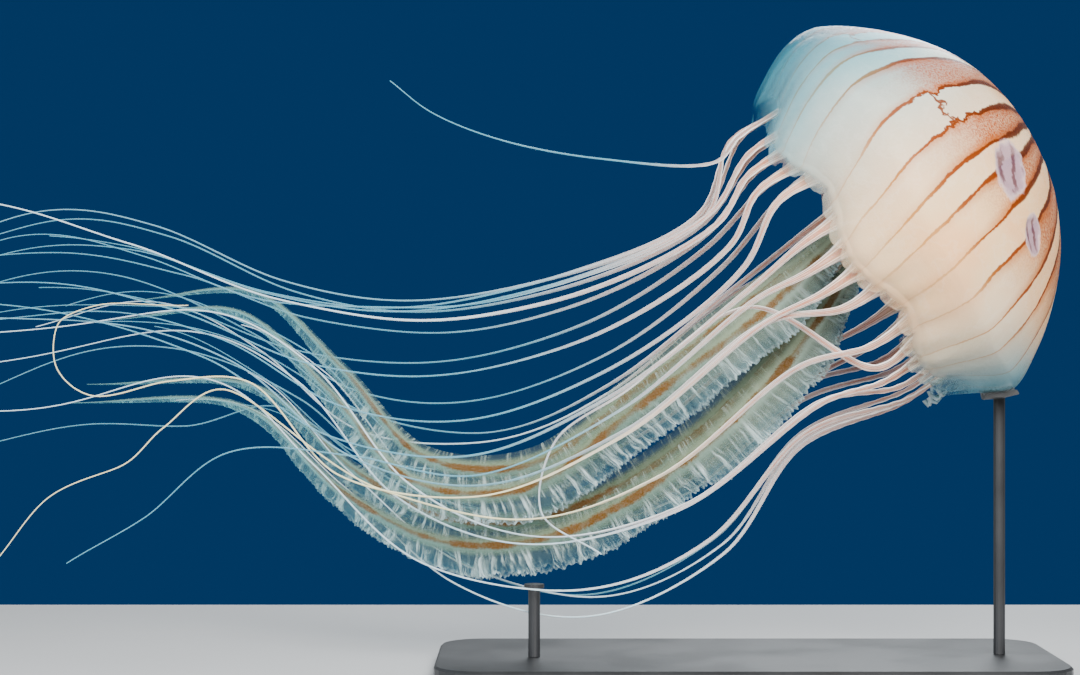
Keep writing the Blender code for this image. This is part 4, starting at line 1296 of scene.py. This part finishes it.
def inner_rows(turn):
    """The rings of the hollow's side, the manubrium and the mouth, from the rim inwards."""
    line = outer_line(120, 0.0)
    swelling = (line[:, 1] / BELL_HEIGHT) ** 1.4
    thick = RIM_THICKNESS + (APEX_THICKNESS - RIM_THICKNESS) * swelling
    inner = (line + inward_of(line) * thick[:, None])[::-1]
    rows, top = [], 0.0
    for radius, height in inner[2::2]:
        if radius < MANUBRIUM_TOP + 0.006:
            break
        fold = MUSCLE_FOLD * np.sin(64 * turn) * eased((radius - 0.04) / 0.03)
        rows.append((radius + fold, height + fold * 0.3, 0.0, radius / BELL_RADIUS))
        top = height
    corner = np.cos(4 * turn)
    for q in np.linspace(0.0, 1.0, 22)[1:]:
        flare = MANUBRIUM_TOP + MANUBRIUM_FLARE - MANUBRIUM_MOUTH
        radius = MANUBRIUM_MOUTH + flare * (1 - q) ** 2.2
        height = top + (MOUTH_HEIGHT - top) * q**1.35
        fluted = radius * (1.0 - 0.15 * eased(q / 0.4) * corner)
        fluted = fluted + LIP_RUFFLE * eased((q - 0.5) / 0.5) * np.sin(36 * turn)
        rows.append((fluted, height, 0.0, 0.25))
    for q in np.linspace(0.0, 1.0, 8)[1:]:
        radius = MANUBRIUM_MOUTH * (0.86 - 0.80 * q) * (1.0 - 0.15 * corner)
        rows.append((radius, MOUTH_HEIGHT + MOUTH_DEPTH * q**1.5, 0.0, 0.15))
    return rows


def bell_rows(turn, given):
    """Every ring of the bell's skin, from the apex over the rim, up the hollow and down the
    manubrium to the mouth: radius, height, outside, and share of the way to the rim."""
    rows = outer_rows(turn, given)
    for outside, side in zip((1.0, 0.7), lappet_rows(turn, given)):
        rows += [(radius, height, outside, 1.0 + 0.07 * q) for radius, height, _, q in side]
    return rows + inner_rows(turn)


def bell_skin(given):
    """One closed skin over the bell, its rim and the manubrium."""
    columns = fineness(BELL_COLUMNS)
    turn = 2 * math.pi * np.arange(columns) / columns
    rows = bell_rows(turn, given)
    nowhere = np.zeros(1)
    apex = posed(0.0, 0.0, outer_line(OUTER_RINGS, given.skin_depth)[0][1])
    mouth = posed(0.0, 0.0, MOUTH_HEIGHT + MOUTH_DEPTH + 0.0005)
    places, steps = stripe_places(nowhere, nowhere)
    points, walls, stripes = [apex[None]], [np.array([(1.0, 0.0, 0.0)])], [places]
    jelly = [jelly_places(nowhere, nowhere, steps)]
    for radius, height, outside, run in rows:
        points.append(posed(radius * np.cos(turn), radius * np.sin(turn), height))
        wall = np.broadcast_arrays(float(outside), backdrop_light_share(turn, run), run)
        walls.append(np.stack(wall, -1))
        places, steps = stripe_places(turn, np.full(columns, run))
        stripes.append(places)
        jelly.append(jelly_places(turn, run, steps))
    points.append(mouth[None])
    walls.append(np.array([(0.0, 0.0, 0.1)]))
    stripes.append(stripes[0])
    jelly.append(jelly[0])
    faces = [(0, 1 + c, 1 + (c + 1) % columns) for c in range(columns)]
    faces += grid_faces(len(rows), columns, 1)
    last = 1 + (len(rows) - 1) * columns
    end = last + columns
    faces += [(end, last + (c + 1) % columns, last + c) for c in range(columns)]
    marks = {"stripe": stripes, "wall": walls, "jelly": jelly}
    marks = {name: np.concatenate(values) for name, values in marks.items()}
    return piece("bell_skin", np.concatenate(points), faces, marks)


# ---------------------------------------------------------------- the oral arms

CURTAIN_RINGS = (0.12, 0.27, 0.42, 0.56, 0.69, 0.80, 0.90, 0.97)  # shares of its depth
CREST_RING = ((1.0, 0.10), (0.66, 0.22), (0.30, 0.40), (0.05, 0.50))  # height and half width
STRAND_LEAN = 0.010  # how far the strands lean along the arm, so that they gather in clumps
FRILL_LENGTH = 0.0027
CREST_CURL = 0.0010
CREST_AT_ROOT, CURTAIN_AT_ROOT = 0.006, 0.007
LEAST_HALF = 0.0004  # the crest is nowhere thinner than twice this
ROOT_INSIDE = 0.006  # how far the arm's root goes on into the mouth


def curtain_sheet(run, body, strength, number, lip, given):
    """The rings of one curtain, down its outer face and up its inner one: depth as a share of
    the curtain, sideways, share of the way down, and how much of a pleat is here."""
    phase = number * 1.9 + lip * 2.4
    rows = []
    for down in CURTAIN_RINGS:
        at = run + STRAND_LEAN * down * ripple(run * 24, lip, 0.0, phase)
        slow_turn = 2 * math.pi * at / given.fold_length + 1.8 * ripple(at * 18, lip, 0.0, phase)
        fast_turn = 2 * math.pi * at / given.pleat_length + 4.5 * ripple(at * 45, lip, 0.0, phase)
        frill_turn = 2 * math.pi * at / FRILL_LENGTH + 3.0 * ripple(at * 130, lip, 0.0, phase)
        deep = 0.50 + 0.50 * ripple(at * 55, lip, 0.0, phase + 2.0)
        fast, fine = np.sin(fast_turn), np.sin(frill_turn)
        clump = 0.5 + 0.5 * ripple(at * 34, lip, 0.0, phase + 4.0)
        rags = 0.68 * clump + 0.16 * (0.5 + 0.5 * fast) + 0.16 * (0.5 + 0.5 * fine)
        swing = given.fold * down**1.2 * np.sin(slow_turn + phase + 1.1 * down)
        swing = swing + given.pleat * deep * down**1.1 * fast
        swing = swing + given.frill * eased((down - 0.66) / 0.25) * fine
        apart = lip * 0.30 * body * (1 - down)
        side = strength * (swing + lip * given.spread * down**0.8) + apart
        half = lip * (0.5 * given.hem + 0.18 * body * (1 - down) ** 2)
        depth = down * (1.0 - given.ragged * rags * down**1.5)
        rows.append((-depth, side, half, down, 0.5 + 0.5 * fast))
    front = [(depth, side + half, down, pleat) for depth, side, half, down, pleat in rows]
    back = [(depth, side - half, down, pleat) for depth, side, half, down, pleat in rows]
    return front + back[::-1]


def arm_sections(route_length, rings, number, given):
    """Rings of (upright, sideways) for one arm, and each point's place on it. The section goes
    from the crest down one side, round both curtains, and up the other side."""
    way = np.linspace(0.0, 1.0, rings)[:, None]
    run = way * route_length
    swell_in = eased((way - 0.05) / 0.15)
    thin = 1.0 - eased((way - 0.40) / 0.5)
    fade = (0.14 + 0.86 * thin) * (1.0 - 0.85 * eased((way - 0.88) / 0.12))
    crest = (CREST_AT_ROOT + (ARM_CREST - CREST_AT_ROOT) * swell_in) * fade
    curtain = (CURTAIN_AT_ROOT + (ARM_CURTAIN - CURTAIN_AT_ROOT) * swell_in) * fade
    body = ARM_TIP + (ARM_BODY * 0.62 - ARM_TIP) * thin
    strength = swell_in * (0.18 + 0.82 * thin)
    flat = np.zeros_like(run)

    def crest_column(height, half, side):
        """One column of points along the crest, on its left where side is -1."""
        curl = strength * CREST_CURL * height * ripple(run * 160, number)
        side = curl + side * np.maximum(body * half, LEAST_HALF)
        return crest * height, side, flat - 0.45 * height - 0.002, flat + 0.4

    columns = [crest_column(height, half, -1) for height, half in CREST_RING]
    for lip in (-1, 1):
        sheet = curtain_sheet(run, body, strength, number, lip, given)
        for depth, side, down, pleat in sheet[::-lip]:
            columns.append((curtain * depth, side, flat + down, pleat))
    columns += [crest_column(height, half, 1) for height, half in CREST_RING[::-1]]
    upright, sideways, across, pleat = (np.concatenate(part, 1) for part in zip(*columns))
    return np.stack([upright, sideways], -1), across, pleat


def arm_skin(name, number, lane, given):
    """One oral arm: a midrib with a low crest and two pleated curtains, its root in the mouth."""
    route = arm_route(name, lane)
    ahead = (route[1] - route[0]) / np.linalg.norm(route[1] - route[0])
    route = np.concatenate([[route[0] - ahead * ROOT_INSIDE], route])
    rings = fineness(ARM_RINGS)
    length_now = length_of(route)
    route = evenly(route, rings)
    section, across, pleat = arm_sections(length_now, rings, number, given)
    points, faces = swept(route, section, 0)
    along = np.broadcast_to(np.linspace(0.0, 1.0, rings)[:, None], across.shape)
    marks = np.stack([along, across, pleat], -1).reshape(-1, 3)
    return piece("oral_arm_" + name, points, faces, {"arm": marks})


# ---------------------------------------------------------------- the tentacles

# A ribbon's section: across in half widths, and which wall, with a groove in each flat side.
RIBBON_RING = (
    (1.0, 0.0), (0.70, 1.0), (0.0, 0.0), (-0.70, 1.0),
    (-1.0, 0.0), (-0.70, -1.0), (0.0, 0.0), (0.70, -1.0),
)
RIBBON_GROOVES = {2: 1.0, 6: -1.0}
RIDGE_RINGS, RIDGE_SIDES = 60, 10
RIDGE_HALF_TURN = math.radians(18.5)
RIDGE_OUT = 0.0030  # how far outside the tentacles' roots the ridge's middle is
RIDGE_HALF_WIDTH, RIDGE_HALF_HEIGHT, RIDGE_WAVE = 0.0052, 0.0034, 0.0006


def tentacle_sections(route_length, rings, number, given):
    """Rings of (upright, sideways) for one tentacle: a web-like root along the rim, then a
    ribbon with thick edges that turns slowly and thins to a round thread."""
    way = np.linspace(0.0, 1.0, rings)
    run = way * route_length
    width, thick = ribbon_size(way)
    if number != TURNING:
        slim = 1.0 - given.slim * (0.6 * eased(run / 0.06) + 0.4 * eased((way - 0.10) / 0.30))
        width, thick = width * slim, thick * slim
    flat = np.clip((width - thick) / (ROOT_WIDTH - ROOT_THICKNESS), 0.0, 1.0)
    web = 0.6 * np.exp(-((run / given.web_length) ** 2))
    web = web + 0.7 * np.exp(-((run / (0.4 * given.web_length)) ** 2))
    width = width + given.web * web * (0.7 + 0.6 * chance(number, 8))
    thick = thick * (1.0 - 0.30 * web)
    beat = 2 * math.pi * run / given.crimp_length + 3.0 * ripple(run * 12, number, 0.0, number)
    crimp = given.crimp * np.sin(beat) * flat * eased(run / 0.04)
    lie = (math.pi / 2 - root_turn(number) + math.pi / 2) % math.pi - math.pi / 2
    spin = lie * (1.0 - eased(run / 0.13))
    twist = 2 * math.pi * given.twist * (chance(number, 6) - 0.5)
    spin = spin + twist * eased((way - 0.12) / 0.88)
    section = np.zeros((rings, len(RIBBON_RING), 2))
    across = np.zeros((rings, len(RIBBON_RING)))
    for place, (wide, wall) in enumerate(RIBBON_RING):
        deep = RIBBON_GROOVES.get(place, 0.0) * (1.0 - 0.5 * flat) + 0.72 * wall
        u = wide * width / 2 * 0.96
        v = deep * thick / 2 + crimp * wide
        section[:, place, 0] = u * np.cos(spin) - v * np.sin(spin)
        section[:, place, 1] = u * np.sin(spin) + v * np.cos(spin)
        across[:, place] = wide
    return section, across


def ridge_points(octant):
    """The soft ridge inside the rim that one octant's tentacles grow from."""
    middle = 2 * math.pi * octant / OCTANTS
    ends = np.linspace(-1.0, 1.0, RIDGE_RINGS)
    turns = middle + ends * RIDGE_HALF_TURN
    fat = np.sqrt(np.maximum(1.0 - ends**4, 0.02))
    rise = 0.5 + 0.5 * np.cos((turns - middle) * LAPPETS + math.pi)
    points = []
    for side in range(RIDGE_SIDES):
        angle = 2 * math.pi * side / RIDGE_SIDES
        radius = ROOT_RADIUS + RIDGE_OUT + RIDGE_HALF_WIDTH * fat * math.cos(angle)
        height = ROOT_HEIGHT + (RIDGE_HALF_HEIGHT + RIDGE_WAVE * rise) * fat * math.sin(angle)
        points.append(posed(radius * np.cos(turns), radius * np.sin(turns), height))
    faces = grid_faces(RIDGE_RINGS, RIDGE_SIDES) + end_caps(RIDGE_RINGS, RIDGE_SIDES)
    return np.stack(points, 1).reshape(-1, 3), faces


def tentacle_group(octant, lane_of, given):
    """The ridge and the four tentacles of one octant, each whole from root to tip."""
    points, faces = ridge_points(octant)
    first = len(points)
    clear = -1.0 if octant in CLEAR_OCTANTS else -0.5
    marks = [np.tile((0.0, 0.6, clear), (first, 1))]
    points = [points]
    for place in range(PER_OCTANT):
        number = octant * PER_OCTANT + place
        route = tentacle_route(number, lane_of[number])
        length_now = length_of(route)
        rings = int(length_now / fineness(TENTACLE_STEP))
        route = evenly(route, rings)
        section, across = tentacle_sections(length_now, rings, number, given)
        some, more = swept(route, section, first)
        age = 0.4 if number == TURNING else 1.0
        along = np.broadcast_to(np.linspace(0.0, age, rings)[:, None], across.shape)
        kind = np.full(across.shape, THREAD_KINDS.get(number, 0.84 * chance(number, 7)))
        marks.append(np.stack([along, across, kind], -1).reshape(-1, 3))
        points.append(some)
        faces += more
        first += len(some)
    marks = {"tentacle": np.concatenate(marks)}
    return piece(f"tentacles_octant_{octant + 1}", np.concatenate(points), faces, marks)


# ---------------------------------------------------------------- operators


def dress(made, finish, nodes):
    """Gives a piece its material and its place in the frame."""
    made.data.materials.append(finish)
    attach(made, "root")
    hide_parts(*nodes)


class JELLY_OT_bell(bpy.types.Operator):
    """Builds the bell's skin over its rim, hollow and manubrium"""

    bl_idname = "jelly.bell"
    bl_label = "Bell"

    def execute(self, context):
        given = context.scene.jelly_bell
        nodes = ["bell_crown", "bell_wall", "bell_margin", "manubrium"]
        dress(bell_skin(given), bell_material(given), nodes)
        return {"FINISHED"}


class JELLY_OT_arms(bpy.types.Operator):
    """Builds the four ruffled oral arms"""

    bl_idname = "jelly.arms"
    bl_label = "Oral arms"

    def execute(self, context):
        given = context.scene.jelly_arms
        finish, lane_of = arm_material(given), lanes()
        for number, name in enumerate(ARM_ROUTES):
            nodes = [f"oral_arm_{name}_{part}" for part in ("upper", "middle", "lower")]
            dress(arm_skin(name, number, lane_of[name], given), finish, nodes)
        return {"FINISHED"}


class JELLY_OT_tentacles(bpy.types.Operator):
    """Builds the tentacles, four in each octant of the rim"""

    bl_idname = "jelly.tentacles"
    bl_label = "Tentacles"

    def execute(self, context):
        given = context.scene.jelly_tentacles
        finish, lane_of = tentacle_material(given), lanes()
        for octant in range(OCTANTS):
            numbers = range(octant * PER_OCTANT + 1, (octant + 1) * PER_OCTANT + 1)
            nodes = [f"octant_{octant + 1}"] + [f"tentacle_{n:02d}" for n in numbers]
            dress(tentacle_group(octant, lane_of, given), finish, nodes)
        return {"FINISHED"}


class JELLY_OT_stand(bpy.types.Operator):
    """Paints the display stand"""

    bl_idname = "jelly.stand"
    bl_label = "Stand"

    def execute(self, context):
        finish = stand_material(context.scene.jelly_stage)
        for name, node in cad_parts.items():
            if name.startswith("stand_"):
                for slot in node.material_slots:
                    slot.material = finish
        return {"FINISHED"}


class JELLY_OT_stage(bpy.types.Operator):
    """Sets the floor, the soft lights, the plain backdrop and the camera"""

    bl_idname = "jelly.stage"
    bl_label = "Stage"

    def execute(self, context):
        given = context.scene.jelly_stage
        lay_floor(given)
        hang_lights(given)
        colour_backdrop(given)
        place_camera(context)
        return {"FINISHED"}


FLOOR_HALF_SIZES = (0.62, 0.36)
FLOOR_CORNER = 0.05
FLOOR_MIDDLE_X = -0.14
FLOOR_EDGE = ((0.0, -0.020), (0.0, -0.002), (-0.0006, -0.0006), (-0.002, 0.0))  # out, and height
LIGHT_TARGET = Vector((-0.10, 0.0, 0.24))
# Name, place, size and tint. Each one's power is the setting of that name.
LIGHTS = (
    ("key", (0.30, -1.45, 0.95), 0.9, (1.0, 0.97, 0.93)),
    ("fill", (-1.05, -1.15, 0.75), 0.8, (0.94, 0.97, 1.0)),
    ("edge", (0.25, 1.25, 1.15), 0.9, (0.90, 0.96, 1.0)),
)
SKY_COLOUR, SKY_STRENGTH = (0.80, 0.86, 0.92), 0.35
CAMERA_PLACE = (-0.1401, -1.5, 0.2254)
CAMERA_LENS, CAMERA_SENSOR = 73.5, 36.0


def lay_floor(given):
    """A thin slab with a rounded edge, its top at the stand's foot."""
    half_x, half_y = (half - FLOOR_CORNER for half in FLOOR_HALF_SIZES)
    outline = []
    for side_x, side_y, start in ((1, 1, 0), (-1, 1, 90), (-1, -1, 180), (1, -1, 270)):
        for degrees in range(0, 91, 9):
            angle = math.radians(start + degrees)
            x = side_x * half_x + FLOOR_CORNER * math.cos(angle)
            outline.append((x, side_y * half_y + FLOOR_CORNER * math.sin(angle)))
    points = []
    for grow, z in FLOOR_EDGE:
        for x, y in outline:
            share = 1 + grow / math.hypot(x, y)
            points.append((FLOOR_MIDDLE_X + x * share, y * share, z))
    rows, columns = len(FLOOR_EDGE), len(outline)
    floor = piece("floor", points, grid_faces(rows, columns) + end_caps(rows, columns), {})
    floor.data.set_sharp_from_angle(angle=math.radians(30))
    floor.data.materials.append(floor_material(given))


def hang_lights(given):
    """A large soft key light, a fill from the other side, and one from behind for bright edges."""
    for name, at, size, tint in LIGHTS:
        data = bpy.data.lights.new(name, "AREA")
        data.shape = "DISK"
        data.size = size
        data.energy = getattr(given, name)
        data.color = tint
        light = bpy.data.objects.new(name, data)
        light.location = at
        light.rotation_euler = (LIGHT_TARGET - Vector(at)).to_track_quat("-Z", "Y").to_euler()
        bpy.context.scene.collection.objects.link(light)


def colour_backdrop(given):
    """A plain deep backdrop to look at, and a pale sky for the light that it gives."""
    world = bpy.data.worlds.new("backdrop")
    world.use_nodes = True
    bpy.context.scene.world = world
    tree = Tree(world.node_tree)
    out = world.node_tree.nodes["World Output"]
    seen, sky = tree.node("ShaderNodeBackground"), tree.node("ShaderNodeBackground")
    seen.inputs["Color"].default_value = (*given.backdrop, 1.0)
    sky.inputs["Color"].default_value = (*SKY_COLOUR, 1.0)
    sky.inputs["Strength"].default_value = SKY_STRENGTH
    either = tree.node("ShaderNodeMixShader")
    tree.feed(either.inputs[0], tree.node("ShaderNodeLightPath").outputs["Is Camera Ray"])
    tree.feed(either.inputs[1], sky.outputs[0])
    tree.feed(either.inputs[2], seen.outputs[0])
    tree.feed(out.inputs["Surface"], either.outputs[0])


def place_camera(context):
    """A level camera on the near side, at the middle of the animal's height."""
    data = bpy.data.cameras.new("camera")
    data.lens = CAMERA_LENS
    data.sensor_width = CAMERA_SENSOR
    data.clip_start = 0.05
    camera = bpy.data.objects.new("camera", data)
    camera.location = CAMERA_PLACE
    camera.rotation_euler = (math.radians(90), 0.0, 0.0)
    context.scene.collection.objects.link(camera)
    context.scene.camera = camera


class JELLY_PT_panel(bpy.types.Panel):
    """Lists the pieces and their settings"""

    bl_idname = "JELLY_PT_panel"
    bl_label = "Sea nettle"
    bl_space_type = "VIEW_3D"
    bl_region_type = "UI"
    bl_category = "Sea nettle"

    def draw(self, context):
        for operator, settings in PANEL_ROWS:
            box = self.layout.box()
            box.operator(operator)
            if settings:
                group = getattr(context.scene, settings)
                for name in group.__annotations__:
                    box.prop(group, name)


SETTINGS = {
    "jelly_bell": BellSettings,
    "jelly_arms": ArmSettings,
    "jelly_tentacles": TentacleSettings,
    "jelly_stage": StageSettings,
}
PANEL_ROWS = (
    ("jelly.bell", "jelly_bell"),
    ("jelly.arms", "jelly_arms"),
    ("jelly.tentacles", "jelly_tentacles"),
    ("jelly.stand", None),
    ("jelly.stage", "jelly_stage"),
)
CLASSES = (
    JELLY_OT_bell,
    JELLY_OT_arms,
    JELLY_OT_tentacles,
    JELLY_OT_stand,
    JELLY_OT_stage,
    JELLY_PT_panel,
)


def register():
    """Registers the settings, the operators and the panel."""
    for group in SETTINGS.values():
        bpy.utils.register_class(group)
    for name, group in SETTINGS.items():
        setattr(bpy.types.Scene, name, bpy.props.PointerProperty(type=group))
    for item in CLASSES:
        bpy.utils.register_class(item)


def unregister():
    """Takes them out again."""
    for item in reversed(CLASSES):
        bpy.utils.unregister_class(item)
    for name, group in SETTINGS.items():
        delattr(bpy.types.Scene, name)
        bpy.utils.unregister_class(group)


def main():
    """Builds every piece and the stage."""
    register()
    bpy.ops.jelly.bell()
    bpy.ops.jelly.arms()
    bpy.ops.jelly.tentacles()
    bpy.ops.jelly.stand()
    bpy.ops.jelly.stage()


if __name__ == "__main__":
    main()
